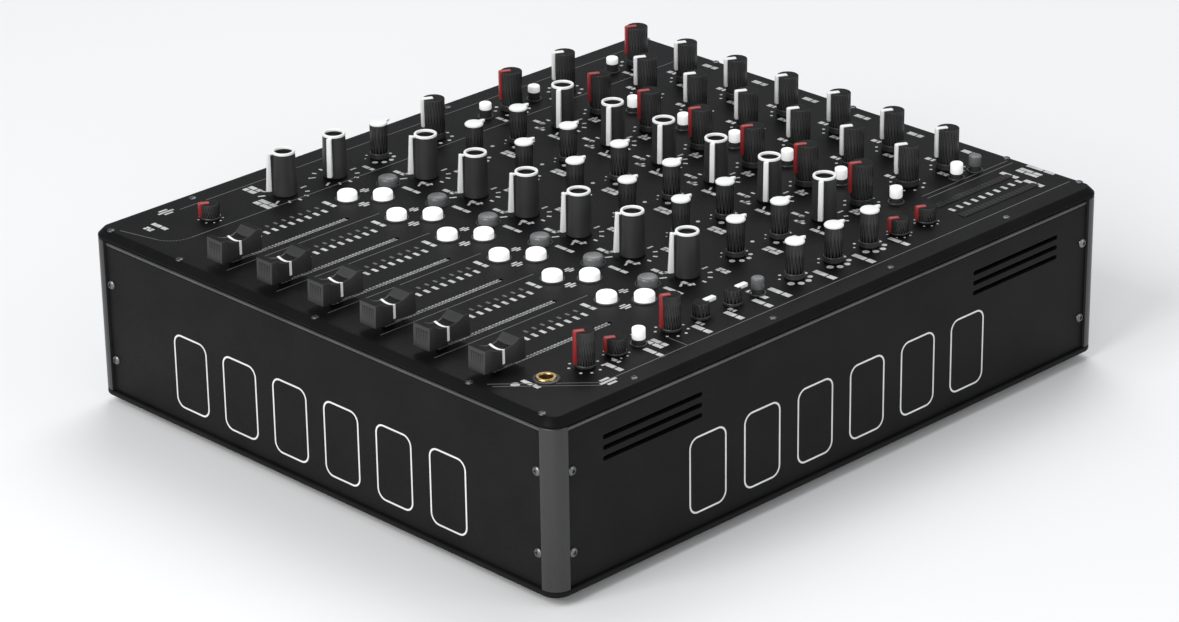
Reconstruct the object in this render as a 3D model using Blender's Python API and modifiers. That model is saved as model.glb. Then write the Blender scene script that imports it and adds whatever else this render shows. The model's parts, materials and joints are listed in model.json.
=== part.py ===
"""Desktop audio mixer with six channels, built from its separate pieces.

Metres, +Z up. The origin is on the standing surface, under the middle of the case.
+X is the user's right and +Y points away from the user.
"""
import math

import bmesh
import bpy
from mathutils import Matrix

# Case: outline, height from the underside of the base tray to the face, and sheet sizes
CASE_W = 0.356
CASE_D = 0.418
CASE_H = 0.097
CORNER_R = 0.009
BASE_T = 0.003
POST_SIDE = 0.010
POST_DROP = 0.0052
PANEL_T = 0.0025
PANEL_INSET = 0.0015
PANEL_DROP = 0.0080
PLATE_T = 0.0046
PLATE_BEVEL = 0.0036
SKIRT_T = 0.0020
SKIRT_DEPTH = 0.0120
FIT = 0.0003

# Places on the face stand on even steps of the case's width and depth
STEPS_ACROSS = 178
STEPS_ALONG = 209
STEP_X = CASE_W / STEPS_ACROSS
STEP_Y = CASE_D / STEPS_ALONG

# Feet
FOOT_H = 0.006
FOOT_R = 0.010
FOOT_INSET = 0.036

# Ventilation slots in both side panels
VENT_COUNT = 3
VENT_LENGTH = 35 * STEP_Y
VENT_WIDTH = 0.0026
VENT_PITCH = 0.0058
VENT_CENTRE_Y = 69.5 * STEP_Y
VENT_CENTRE_Z = 0.071

# Control columns: channels share one pitch, and one column stands on each side of them
CHANNELS = 6
CHANNEL_PITCH = 20 * STEP_X
LEFT_COLUMN = -70 * STEP_X
RIGHT_COLUMN = 71.25 * STEP_X

# Control rows, from the user's edge to the back
ROW_FADER = -92.5 * STEP_Y
ROW_CUE_FRONT = -43.75 * STEP_Y
ROW_CUE_BACK = -36.75 * STEP_Y
ROW_MUTE = -29 * STEP_Y
ROW_RING_FRONT = -17.75 * STEP_Y
ROW_CAP_FRONT = 0.5 * STEP_Y
ROW_CAP_BACK = 17.5 * STEP_Y
ROW_RING_BACK = 35 * STEP_Y
ROW_RED = 50 * STEP_Y
ROW_SEND = 57 * STEP_Y
ROW_LINE_FRONT = 68.75 * STEP_Y
ROW_LINE_BACK = 85.5 * STEP_Y

# Sideways offsets within a channel
FADER_DX = 0.0138
CUE_FRONT_DX = -0.00725
CUE_BACK_DX = 0.00625
MUTE_DX = -0.00675
SEND_DX = 0.0125

# Left column, from the user's edge to the back
LEFT_SMALL_Y = -78.5 * STEP_Y
LEFT_RING_X = -68.75 * STEP_X
LEFT_RING_FRONT_Y = -53 * STEP_Y
LEFT_RING_BACK_Y = -34.75 * STEP_Y
LEFT_CAP_Y = -17.25 * STEP_Y
LEFT_LINE_YS = (3.75 * STEP_Y, 55.25 * STEP_Y)
LEFT_RED_YS = (34 * STEP_Y, 85.25 * STEP_Y)
LEFT_BUTTON_X = -71.25 * STEP_X
LEFT_BUTTON_YS = (24.75 * STEP_Y, 44 * STEP_Y, 76 * STEP_Y)

# Right column, from the user's edge to the back
RIGHT_JACK_X = 69.5 * STEP_X
RIGHT_JACK_Y = -87.85 * STEP_Y
RIGHT_RED_YS = (-76 * STEP_Y, -45.5 * STEP_Y)
RIGHT_SMALL_YS = (-65.25 * STEP_Y, 41.25 * STEP_Y, 52.25 * STEP_Y)
RIGHT_BUTTON_YS = (-57.25 * STEP_Y, -13.75 * STEP_Y)
RIGHT_SWITCH_YS = (-34.75 * STEP_Y, -23 * STEP_Y)
RIGHT_CAP_YS = (0.25 * STEP_Y, 15.25 * STEP_Y, 29.25 * STEP_Y)
BACK_BUTTON_X = 56.75 * STEP_X
BACK_BUTTON_YS = (81.5 * STEP_Y, 89.25 * STEP_Y)

# Potentiometer shafts and the holes that they turn in
SHAFT_R = 0.003
SHAFT_PLAY = 0.0006
SHAFT_SIDES = 8
POINTER_SWEEP = 300.0

# Ring knob: rimmed top and a fin that stands out as its pointer
RING_KNOB_R = 0.0063
RING_KNOB_SKIRT_R = 0.0069
RING_KNOB_H = 0.0256
RING_RIM = 0.0013
RING_DISH = 0.0014
FIN_REACH = 0.0093
FIN_W = 0.0026
FIN_FOOT = 0.0025
FIN_DROP = 0.0006

# Line knob: plain cylinder, tall or slim and short, with a pointer rib over its top and down its side
LINE_KNOB_R = 0.0061
LINE_KNOB_H = 0.0238
SLIM_KNOB_R = 0.0049
SLIM_KNOB_H = 0.0195
LINE_KNOB_FLARE = 0.0004
LINE_KNOB_ROUND = 0.0008
RIB_PROUD = 0.0009
RIB_RISE = 0.0006
RIB_W = 0.0030
RIB_FOOT = 0.0072
SLIM_RIB_FOOT = 0.0020

# Cap knob: slim body under a disc with a pointer nose
CAP_BODY_R = 0.0047
CAP_SKIRT_R = 0.0054
CAP_DISC_R = 0.0052
CAP_DISC_T = 0.0018
CAP_KNOB_H = 0.0218
NOSE_REACH = 0.0080
NOSE_W = 0.0034

# Small knobs, selectors with a nose, buttons and cue keys
SMALL_KNOB_R = 0.0052
SMALL_KNOB_H = 0.0090
SWITCH_R = 0.0046
SWITCH_H = 0.0086
SWITCH_NOSE_REACH = 0.0098
SWITCH_NOSE_W = 0.0034
SWITCH_NOSE_T = 0.0020
SWITCH_NOSE_RISE = 0.0006
BUTTON_R = 0.0036
BUTTON_H = 0.0092
BUTTON_PLAY = 0.0006
CUE_R = 0.0055
CUE_H = 0.0050
CUE_DOME = 0.0012
CUE_TRAVEL = 0.0015
CUE_DEPTH = 0.0080

# Faders
FADER_TRAVEL = 37.5 * STEP_Y
FADER_LENGTH = 0.028
FADER_W = 0.012
FADER_END_H = 0.016
FADER_MID_H = 0.012
FADER_LIFT = 0.0035
FADER_END_T = 0.0045
FADER_STEM_W = 0.0022
FADER_STEM_LENGTH = 0.008
FADER_PLAY = 0.0004
TRACK_W = 0.010
TRACK_H = 0.006
TRACK_MARGIN = 0.012

# Circuit board, potentiometer bodies and their carriers, hung from the top plate
BOARD_T = 0.0016
BOARD_GAP = 0.0180
BOARD_MARGIN_X = 0.022
BOARD_FRONT_MARGIN = 0.008
BOARD_BACK_MARGIN = 0.030
STANDOFF_R = 0.003
STANDOFF_INSET = 0.007
POT_SIDE = 0.010
POT_H = 0.0070
STRIP_T = 0.0022
STRIP_W = 0.0060

# Headphone socket
JACK_R = 0.0055
JACK_BORE_R = 0.0034
JACK_FLANGE_R = 0.0068
JACK_FLANGE_T = 0.0012
JACK_DEPTH = 0.0125
JACK_BORE_DEPTH = 0.0110

# Mains inlet with its rocker switch, in the rear panel
INLET_X = -60 * STEP_X
INLET_Z = 0.045
INLET_W = 0.056
INLET_H = 0.030
INLET_DEPTH = 0.026
INLET_FLANGE = 0.004
INLET_FLANGE_T = 0.0012
SOCKET_W = 0.0245
SOCKET_H = 0.0170
SOCKET_DEPTH = 0.0150
SOCKET_DX = -0.0125
ROCKER_DX = 0.0170
ROCKER_W = 0.0105
ROCKER_H = 0.0200
ROCKER_T = 0.0060
ROCKER_TILT = 8.0
ROCKER_PLAY = 0.0006
ROCKER_WELL_DEPTH = 0.0120

# Power supply on the base tray
SUPPLY_W = 0.090
SUPPLY_D = 0.130
SUPPLY_H = 0.038
SUPPLY_X = -45 * STEP_X
SUPPLY_Y = 47.5 * STEP_Y

# Facets of the round shapes
KNOB_SIDES = 12
CAP_SIDES = 10
BUTTON_SIDES = 8
POST_STEPS = 6
JACK_SIDES = 16
FOOT_SIDES = 16

# Levels and places that follow from the sizes above
BASE_Z = FOOT_H
DECK_Z = BASE_Z + BASE_T + FIT
FACE_Z = FOOT_H + CASE_H
UNDER_Z = FACE_Z - PLATE_T
STRIP_TOP = -PLATE_T - FIT
STRIP_BOTTOM = STRIP_TOP - STRIP_T
BOARD_TOP = -PLATE_T - BOARD_GAP
POT_TOP = BOARD_TOP + POT_H
SHAFT_END = POT_TOP + FIT
SLOT_W = FADER_STEM_W + 2 * FADER_PLAY
SLOT_FRONT = ROW_FADER - FADER_STEM_LENGTH / 2 - 2 * FADER_PLAY
SLOT_BACK = ROW_FADER + FADER_TRAVEL + FADER_STEM_LENGTH / 2 + 2 * FADER_PLAY
CHANNEL_XS = [(i - (CHANNELS - 1) / 2) * CHANNEL_PITCH for i in range(CHANNELS)]
AT_MIN = math.radians(POINTER_SWEEP / 2)
AT_MAX = -AT_MIN


def clear_scene():
    """Remove every object of the scene."""
    for obj in list(bpy.data.objects):
        bpy.data.objects.remove(obj, do_unlink=True)


def new_collection(name, hidden=False):
    """Make a collection under the scene."""
    collection = bpy.data.collections.new(name)
    collection.hide_render = hidden
    bpy.context.scene.collection.children.link(collection)
    return collection


clear_scene()
PARTS = new_collection("desktop_mixer")
CUTTERS = new_collection("desktop_mixer_cutters", hidden=True)


def make_material(name, colour, roughness, metallic=0.0):
    """Make a Principled BSDF material."""
    material = bpy.data.materials.new(name)
    material.use_nodes = True
    shader = material.node_tree.nodes["Principled BSDF"]
    shader.inputs["Base Color"].default_value = (*colour, 1.0)
    shader.inputs["Roughness"].default_value = roughness
    shader.inputs["Metallic"].default_value = metallic
    return material


BLACK_PAINT = make_material("black_paint", (0.015, 0.015, 0.016), 0.45)
BLACK_FACE = make_material("black_face", (0.010, 0.010, 0.011), 0.40)
POST_METAL = make_material("post_metal", (0.030, 0.030, 0.031), 0.35, 0.6)
KNOB_PLASTIC = make_material("knob_plastic", (0.020, 0.020, 0.021), 0.50)
RED_MARK = make_material("red_mark_plastic", (0.120, 0.020, 0.020), 0.50)
KEY_WHITE = make_material("key_white", (0.850, 0.850, 0.840), 0.45)
RUBBER = make_material("foot_rubber", (0.010, 0.010, 0.010), 0.80)
BOARD_GREEN = make_material("board_green", (0.020, 0.120, 0.050), 0.55)
BRIGHT_METAL = make_material("bright_metal", (0.600, 0.480, 0.250), 0.30, 1.0)
CASE_METAL = make_material("supply_metal", (0.450, 0.450, 0.460), 0.40, 1.0)


def add_box(bm, low, high):
    """Add a closed box between two corners."""
    size = [high[i] - low[i] for i in range(3)]
    middle = [(high[i] + low[i]) / 2 for i in range(3)]
    place = Matrix.Translation(middle) @ Matrix.Diagonal((*size, 1.0))
    bmesh.ops.create_cube(bm, size=1.0, matrix=place)


def add_rod(bm, x, y, low, high, radius, sides):
    """Add a closed upright cylinder."""
    place = Matrix.Translation((x, y, (low + high) / 2))
    bmesh.ops.create_cone(bm, cap_ends=True, segments=sides, radius1=radius, radius2=radius,
                          depth=high - low, matrix=place)


def add_mesh(bm, mesh, x, y, turn=0.0, lift=0.0):
    """Add a turned and shifted copy of a mesh."""
    copy = bmesh.new()
    copy.from_mesh(mesh)
    copy.transform(Matrix.Translation((x, y, lift)) @ Matrix.Rotation(turn, 4, "Z"))
    loose = bpy.data.meshes.new("copy")
    copy.to_mesh(loose)
    copy.free()
    bm.from_mesh(loose)
    bpy.data.meshes.remove(loose)


def close_mesh(bm, name):
    """Turn a bmesh into a mesh with its faces pointing out."""
    bmesh.ops.recalc_face_normals(bm, faces=bm.faces)
    mesh = bpy.data.meshes.new(name)
    bm.to_mesh(mesh)
    bm.free()
    return mesh


def place_object(name, mesh, material, location=(0.0, 0.0, 0.0), turn=0.0):
    """Put a named piece into the parts collection."""
    obj = bpy.data.objects.new(name, mesh)
    if not mesh.materials:
        mesh.materials.append(material)
    obj.location = location
    obj.rotation_euler = (0.0, 0.0, turn)
    PARTS.objects.link(obj)
    return obj


def apply_boolean(obj, mesh, operation):
    """Give an object a Boolean with a hidden operand."""
    operand = bpy.data.objects.new(obj.name + "_" + operation.lower(), mesh)
    operand.hide_render = True
    operand.display_type = "WIRE"
    CUTTERS.objects.link(operand)
    modifier = obj.modifiers.new(operation.lower(), "BOOLEAN")
    modifier.operation = operation
    modifier.solver = "EXACT"
    modifier.object = operand
    return operand


def bake(obj, *operands):
    """Return an object's evaluated mesh and remove the object and its operands."""
    bpy.context.view_layer.update()
    evaluated = obj.evaluated_get(bpy.context.evaluated_depsgraph_get())
    mesh = bpy.data.meshes.new_from_object(evaluated)
    for used in (obj, *operands):
        bpy.data.objects.remove(used, do_unlink=True)
    return mesh


def smooth(mesh, angle=40.0):
    """Shade a round mesh smooth up to an angle."""
    mesh.shade_smooth()
    mesh.set_sharp_from_angle(angle=math.radians(angle))
    return mesh


def turned_mesh(name, profile, sides):
    """Turn a profile of radius and height, listed from the top down its outer side."""
    mesh = bpy.data.meshes.new(name + "_profile")
    points = [(radius, 0.0, height) for radius, height in profile]
    edges = [(i, i + 1) for i in range(len(points) - 1)]
    mesh.from_pydata(points, edges, [])
    obj = bpy.data.objects.new(name + "_profile", mesh)
    CUTTERS.objects.link(obj)
    screw = obj.modifiers.new("turn", "SCREW")
    screw.axis = "Z"
    screw.angle = 2 * math.pi
    screw.steps = sides
    screw.render_steps = sides
    screw.use_merge_vertices = True
    screw.merge_threshold = 0.00001
    return smooth(bake(obj))


def with_box(mesh, low, high):
    """Return a mesh joined with a box."""
    obj = bpy.data.objects.new("joined", mesh)
    CUTTERS.objects.link(obj)
    bm = bmesh.new()
    add_box(bm, low, high)
    operand = apply_boolean(obj, close_mesh(bm, "joined_box"), "UNION")
    return smooth(bake(obj, operand))


def shaft_profile(shaft_end):
    """Outer side of a knob's shaft, from under the knob to its lower end."""
    return [(SHAFT_R, FIT), (SHAFT_R, shaft_end), (0.0, shaft_end)]


def ring_knob_mesh(shaft_end):
    """Ring knob on its shaft, with its fin towards +Y."""
    inner = RING_KNOB_R - RING_RIM
    dish = RING_KNOB_H - RING_DISH
    profile = [(0.0, dish), (inner, dish), (inner, RING_KNOB_H), (RING_KNOB_R, RING_KNOB_H),
               (RING_KNOB_SKIRT_R, FIT)]
    body = turned_mesh("ring_knob", profile + shaft_profile(shaft_end), KNOB_SIDES)
    return with_box(body, (-FIN_W / 2, SHAFT_R + FIT, FIN_FOOT),
                    (FIN_W / 2, FIN_REACH, RING_KNOB_H - RING_DISH - FIN_DROP))


def line_knob_mesh(shaft_end, radius, height, rib_foot):
    """Line knob on its shaft, with its rib towards +Y."""
    profile = [(0.0, height), (radius - LINE_KNOB_ROUND, height),
               (radius, height - LINE_KNOB_ROUND), (radius + LINE_KNOB_FLARE, FIT)]
    body = turned_mesh("line_knob", profile + shaft_profile(shaft_end), KNOB_SIDES)
    rib_reach = radius + LINE_KNOB_FLARE + RIB_PROUD
    return with_box(body, (-RIB_W / 2, FIT, rib_foot), (RIB_W / 2, rib_reach, height + RIB_RISE))


def cap_knob_mesh(shaft_end):
    """Cap knob on its shaft, with its nose towards +Y."""
    under = CAP_KNOB_H - CAP_DISC_T
    profile = [(0.0, CAP_KNOB_H), (CAP_DISC_R, CAP_KNOB_H), (CAP_DISC_R, under),
               (CAP_BODY_R, under), (CAP_SKIRT_R, FIT)]
    body = turned_mesh("cap_knob", profile + shaft_profile(shaft_end), CAP_SIDES)
    return with_box(body, (-NOSE_W / 2, SHAFT_R + FIT, under + FIT),
                    (NOSE_W / 2, NOSE_REACH, CAP_KNOB_H - FIT))


def round_stud_mesh(name, radius, height, shaft_end):
    """Small round knob, selector or button on its shaft."""
    profile = [(0.0, height), (radius, height), (radius, FIT)]
    return turned_mesh(name, profile + shaft_profile(shaft_end), BUTTON_SIDES)


def switch_mesh(shaft_end):
    """Selector on its shaft, with its nose towards +Y."""
    body = round_stud_mesh("selector", SWITCH_R, SWITCH_H, shaft_end)
    return with_box(body, (-SWITCH_NOSE_W / 2, FIT, SWITCH_H - SWITCH_NOSE_T),
                    (SWITCH_NOSE_W / 2, SWITCH_NOSE_REACH, SWITCH_H + SWITCH_NOSE_RISE))


def plunger_mesh(name, radius, height, dome, low, sides):
    """Domed key that runs straight down through the plate."""
    profile = [(0.0, height), (radius - dome, height), (radius, height - dome), (radius, low), (0.0, low)]
    return turned_mesh(name, profile, sides)


def fader_mesh():
    """Fader cap with raised ends and a finger dip, on the stem that runs in the slot."""
    half_w = FADER_W / 2
    half_l = FADER_LENGTH / 2
    bm = bmesh.new()
    add_box(bm, (-half_w, -half_l, FADER_LIFT), (half_w, half_l, FADER_END_H))
    cap = bpy.data.objects.new("fader_cap", close_mesh(bm, "fader_cap"))
    CUTTERS.objects.link(cap)
    dip_half = half_l - FADER_END_T
    dip_depth = FADER_END_H - FADER_MID_H
    dip_r = (dip_half ** 2 + dip_depth ** 2) / (2 * dip_depth)
    bm = bmesh.new()
    across = Matrix.Translation((0.0, 0.0, FADER_MID_H + dip_r)) @ Matrix.Rotation(math.pi / 2, 4, "Y")
    bmesh.ops.create_cone(bm, cap_ends=True, segments=4 * KNOB_SIDES, radius1=dip_r, radius2=dip_r,
                          depth=2 * FADER_W, matrix=across)
    dip = apply_boolean(cap, close_mesh(bm, "fader_dip"), "DIFFERENCE")
    cap_mesh = bake(cap, dip)
    stem_low = BOARD_TOP + TRACK_H + FIT
    stem_high = (FADER_LIFT + FADER_MID_H) / 2
    return with_box(cap_mesh, (-FADER_STEM_W / 2, -FADER_STEM_LENGTH / 2, stem_low),
                    (FADER_STEM_W / 2, FADER_STEM_LENGTH / 2, stem_high))


def rounded_plate_mesh(name, low, high, bevel):
    """Case-sized plate with round corners and an optional bevel along its upper rim."""
    bm = bmesh.new()
    add_box(bm, (-CASE_W / 2, -CASE_D / 2, low), (CASE_W / 2, CASE_D / 2, high))
    upright = [e for e in bm.edges if abs(e.verts[0].co.z - e.verts[1].co.z) > (high - low) / 2]
    bmesh.ops.bevel(bm, geom=upright, offset=CORNER_R, segments=POST_STEPS, profile=0.5, affect="EDGES")
    if bevel:
        middle = (low + high) / 2
        rim = [e for e in bm.edges if all(v.co.z > middle for v in e.verts)]
        bmesh.ops.bevel(bm, geom=rim, offset=bevel, segments=1, profile=0.5, affect="EDGES")
    return close_mesh(bm, name)


def build_case():
    """Base tray, feet, corner posts and the four side panels."""
    place_object("base_tray", rounded_plate_mesh("base_tray", BASE_Z, BASE_Z + BASE_T, 0.0), BLACK_PAINT)
    foot_x = CASE_W / 2 - FOOT_INSET
    foot_y = CASE_D / 2 - FOOT_INSET
    post_height = FACE_Z - POST_DROP - DECK_Z
    for side_y, end_name in ((-1, "front"), (1, "rear")):
        for side_x, side_name in ((-1, "left"), (1, "right")):
            bm = bmesh.new()
            add_rod(bm, 0.0, 0.0, 0.0, FOOT_H - FIT, FOOT_R, FOOT_SIDES)
            place_object(f"{end_name}_{side_name}_foot", smooth(close_mesh(bm, "foot")), RUBBER,
                         (side_x * foot_x, side_y * foot_y, 0.0))
            place_object(f"{end_name}_{side_name}_post", post_mesh(side_x, side_y, post_height), POST_METAL,
                         (side_x * CASE_W / 2, side_y * CASE_D / 2, DECK_Z))


def post_mesh(side_x, side_y, height):
    """Corner post with its outer upright edge rounded, drawn from the case's corner inwards."""
    bm = bmesh.new()
    low = (min(0.0, -side_x * POST_SIDE), min(0.0, -side_y * POST_SIDE), 0.0)
    high = (max(0.0, -side_x * POST_SIDE), max(0.0, -side_y * POST_SIDE), height)
    add_box(bm, low, high)
    outer = [e for e in bm.edges if all(abs(v.co.x) + abs(v.co.y) < FIT for v in e.verts)]
    bmesh.ops.bevel(bm, geom=outer, offset=CORNER_R, segments=POST_STEPS, profile=0.5, affect="EDGES")
    return smooth(close_mesh(bm, "post"))


def panel_object(name, span, facing):
    """Side panel between two posts, given the case's length along it and its outward direction."""
    half = span / 2 - POST_SIDE - FIT
    top = FACE_Z - PANEL_DROP
    out_x, out_y = facing
    outer_x = CASE_W / 2 - PANEL_INSET
    outer_y = CASE_D / 2 - PANEL_INSET
    bm = bmesh.new()
    if out_x:
        faces = sorted((out_x * outer_x, out_x * (outer_x - PANEL_T)))
        add_box(bm, (faces[0], -half, DECK_Z), (faces[1], half, top))
    else:
        faces = sorted((out_y * outer_y, out_y * (outer_y - PANEL_T)))
        add_box(bm, (-half, faces[0], DECK_Z), (half, faces[1], top))
    return place_object(name, close_mesh(bm, name), BLACK_PAINT)


def build_panels():
    """Front and rear panels, and the side panels with their ventilation slots."""
    panel_object("front_panel", CASE_W, (0, -1))
    rear = panel_object("rear_panel", CASE_W, (0, 1))
    bm = bmesh.new()
    add_box(bm, (INLET_X - INLET_W / 2 - FIT, 0.0, INLET_Z - INLET_H / 2 - FIT),
            (INLET_X + INLET_W / 2 + FIT, CASE_D, INLET_Z + INLET_H / 2 + FIT))
    apply_boolean(rear, close_mesh(bm, "inlet_cut"), "DIFFERENCE")
    for name, side in (("left_panel", -1), ("right_panel", 1)):
        panel = panel_object(name, CASE_D, (side, 0))
        bm = bmesh.new()
        for end in (-1, 1):
            for i in range(VENT_COUNT):
                z = VENT_CENTRE_Z + BASE_Z + (i - (VENT_COUNT - 1) / 2) * VENT_PITCH
                low_y = end * VENT_CENTRE_Y - VENT_LENGTH / 2
                reach = sorted((side * (CASE_W / 2 - PANEL_INSET - 2 * PANEL_T), side * CASE_W))
                add_box(bm, (reach[0], low_y, z - VENT_WIDTH / 2),
                        (reach[1], low_y + VENT_LENGTH, z + VENT_WIDTH / 2))
        apply_boolean(panel, close_mesh(bm, name + "_vents"), "DIFFERENCE")


def shaft_places():
    """Places of every shaft that passes through the plate."""
    places = [(x, row) for x in CHANNEL_XS for row in
              (ROW_RING_FRONT, ROW_CAP_FRONT, ROW_CAP_BACK, ROW_RING_BACK, ROW_RED, ROW_LINE_FRONT,
               ROW_LINE_BACK)]
    places += [(x + SEND_DX, ROW_SEND) for x in CHANNEL_XS]
    places += [(LEFT_RING_X, LEFT_RING_FRONT_Y), (LEFT_RING_X, LEFT_RING_BACK_Y)]
    left_rows = (LEFT_SMALL_Y, LEFT_CAP_Y)
    places += [(LEFT_COLUMN, y) for y in left_rows + LEFT_LINE_YS + LEFT_RED_YS]
    places += [(LEFT_BUTTON_X, y) for y in LEFT_BUTTON_YS]
    right_rows = RIGHT_RED_YS + RIGHT_SMALL_YS + RIGHT_BUTTON_YS + RIGHT_SWITCH_YS + RIGHT_CAP_YS
    places += [(RIGHT_COLUMN, y) for y in right_rows]
    places += [(BACK_BUTTON_X, y) for y in BACK_BUTTON_YS]
    return places


def build_top_plate():
    """Top plate with bevelled rim, folded skirt, and all its holes and fader slots."""
    mesh = rounded_plate_mesh("top_plate", UNDER_Z, FACE_Z, PLATE_BEVEL)
    plate = place_object("top_plate", mesh, BLACK_FACE)
    outer_x = CASE_W / 2 - PANEL_INSET - PANEL_T - FIT
    outer_y = CASE_D / 2 - PANEL_INSET - PANEL_T - FIT
    half_x = CASE_W / 2 - POST_SIDE - 2 * FIT
    half_y = CASE_D / 2 - POST_SIDE - 2 * FIT
    bm = bmesh.new()
    for side in (-1, 1):
        across = sorted((side * outer_x, side * (outer_x - SKIRT_T)))
        along = sorted((side * outer_y, side * (outer_y - SKIRT_T)))
        low = UNDER_Z - SKIRT_DEPTH
        high = UNDER_Z + PLATE_T / 2
        add_box(bm, (across[0], -half_y, low), (across[1], half_y, high))
        add_box(bm, (-half_x, along[0], low), (half_x, along[1], high))
    apply_boolean(plate, close_mesh(bm, "skirt"), "UNION")
    bm = bmesh.new()
    low = UNDER_Z - PLATE_T
    high = FACE_Z + PLATE_T
    for x, y in shaft_places():
        add_rod(bm, x, y, low, high, SHAFT_R + SHAFT_PLAY, SHAFT_SIDES)
    for x in CHANNEL_XS:
        for key_x, row in ((CUE_FRONT_DX, ROW_CUE_FRONT), (CUE_BACK_DX, ROW_CUE_BACK), (MUTE_DX, ROW_MUTE)):
            add_rod(bm, x + key_x, row, low, high, CUE_R + BUTTON_PLAY, KNOB_SIDES)
        slot_x = x + FADER_DX
        add_box(bm, (slot_x - SLOT_W / 2, SLOT_FRONT, low), (slot_x + SLOT_W / 2, SLOT_BACK, high))
    add_rod(bm, RIGHT_JACK_X, RIGHT_JACK_Y, low, high, JACK_R + FIT, JACK_SIDES)
    apply_boolean(plate, close_mesh(bm, "plate_holes"), "DIFFERENCE")


def build_board():
    """Circuit board with standoffs, potentiometer bodies, key switches and fader tracks."""
    top = FACE_Z + BOARD_TOP
    half_x = CASE_W / 2 - BOARD_MARGIN_X
    low_y = -CASE_D / 2 + BOARD_FRONT_MARGIN
    high_y = CASE_D / 2 - BOARD_BACK_MARGIN
    bm = bmesh.new()
    add_box(bm, (-half_x, low_y, top - BOARD_T), (half_x, high_y, top))
    board = place_object("main_board", close_mesh(bm, "main_board"), BOARD_GREEN)
    root = top - BOARD_T / 2
    bm = bmesh.new()
    for x in (-half_x + STANDOFF_INSET, half_x - STANDOFF_INSET):
        for y in (low_y + STANDOFF_INSET, high_y - STANDOFF_INSET):
            add_rod(bm, x, y, root, UNDER_Z - FIT, STANDOFF_R, SHAFT_SIDES)
    pots = [(x, row) for x in CHANNEL_XS for row in (ROW_RING_FRONT, ROW_RING_BACK, ROW_RED, ROW_LINE_BACK)]
    pots += [(LEFT_RING_X, LEFT_RING_FRONT_Y), (LEFT_RING_X, LEFT_RING_BACK_Y)]
    for x, y in pots:
        half = POT_SIDE / 2
        add_box(bm, (x - half, y - half, root), (x + half, y + half, FACE_Z + POT_TOP))
    for x in CHANNEL_XS:
        half = POT_SIDE / 2
        key_x = x + CUE_FRONT_DX
        key_top = FACE_Z - CUE_DEPTH - CUE_TRAVEL - FIT
        add_box(bm, (key_x - half, ROW_CUE_FRONT - half, root), (key_x + half, ROW_CUE_FRONT + half, key_top))
        slot_x = x + FADER_DX
        add_box(bm, (slot_x - TRACK_W / 2, SLOT_FRONT - TRACK_MARGIN / 2, root),
                (slot_x + TRACK_W / 2, SLOT_BACK, top + TRACK_H))
    apply_boolean(board, close_mesh(bm, "board_parts"), "UNION")


def build_jointed_controls():
    """Controls that each have their own node and joint."""
    ring = ring_knob_mesh(SHAFT_END)
    line = line_knob_mesh(SHAFT_END, LINE_KNOB_R, LINE_KNOB_H, RIB_FOOT)
    red = line.copy()
    red.materials.clear()
    cue = plunger_mesh("cue_key", CUE_R, CUE_H, CUE_DOME, -CUE_DEPTH, KNOB_SIDES)
    fader = fader_mesh()
    for i, x in enumerate(CHANNEL_XS, start=1):
        place_object(f"fader_{i}", fader, KNOB_PLASTIC, (x + FADER_DX, ROW_FADER, FACE_Z))
        place_object(f"cue_key_{i}", cue, KEY_WHITE, (x + CUE_FRONT_DX, ROW_CUE_FRONT, FACE_Z))
        place_object(f"low_ring_knob_{i}", ring, KNOB_PLASTIC, (x, ROW_RING_FRONT, FACE_Z), AT_MIN)
        place_object(f"high_ring_knob_{i}", ring, KNOB_PLASTIC, (x, ROW_RING_BACK, FACE_Z), AT_MAX)
        place_object(f"red_knob_{i}", red, RED_MARK, (x, ROW_RED, FACE_Z), AT_MIN)
        place_object(f"level_knob_{i}", line, KNOB_PLASTIC, (x, ROW_LINE_BACK, FACE_Z), AT_MIN)
    front = (LEFT_RING_X, LEFT_RING_FRONT_Y, FACE_Z)
    place_object("left_ring_knob_front", ring, KNOB_PLASTIC, front, AT_MIN)
    back = (LEFT_RING_X, LEFT_RING_BACK_Y, FACE_Z)
    place_object("left_ring_knob_back", ring, KNOB_PLASTIC, back, AT_MAX)


def strip_box(bm, x0, x1, y0, y1):
    """Add a carrier strip under the plate around two points."""
    half = STRIP_W / 2
    add_box(bm, (min(x0, x1) - half, min(y0, y1) - half, FACE_Z + STRIP_BOTTOM),
            (max(x0, x1) + half, max(y0, y1) + half, FACE_Z + STRIP_TOP))


def bank_object(name, spines, rows, controls, material):
    """Join carrier strips and the controls that they hold into one piece."""
    bm = bmesh.new()
    for spine in spines:
        strip_box(bm, *spine)
    bank = place_object(name, close_mesh(bm, name), material)
    if rows:
        bm = bmesh.new()
        for row in rows:
            strip_box(bm, *row)
        apply_boolean(bank, close_mesh(bm, name + "_rows"), "UNION")
    bm = bmesh.new()
    for mesh, x, y, turn in controls:
        add_mesh(bm, mesh, x, y, turn, FACE_Z)
    apply_boolean(bank, close_mesh(bm, name + "_controls"), "UNION")


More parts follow.
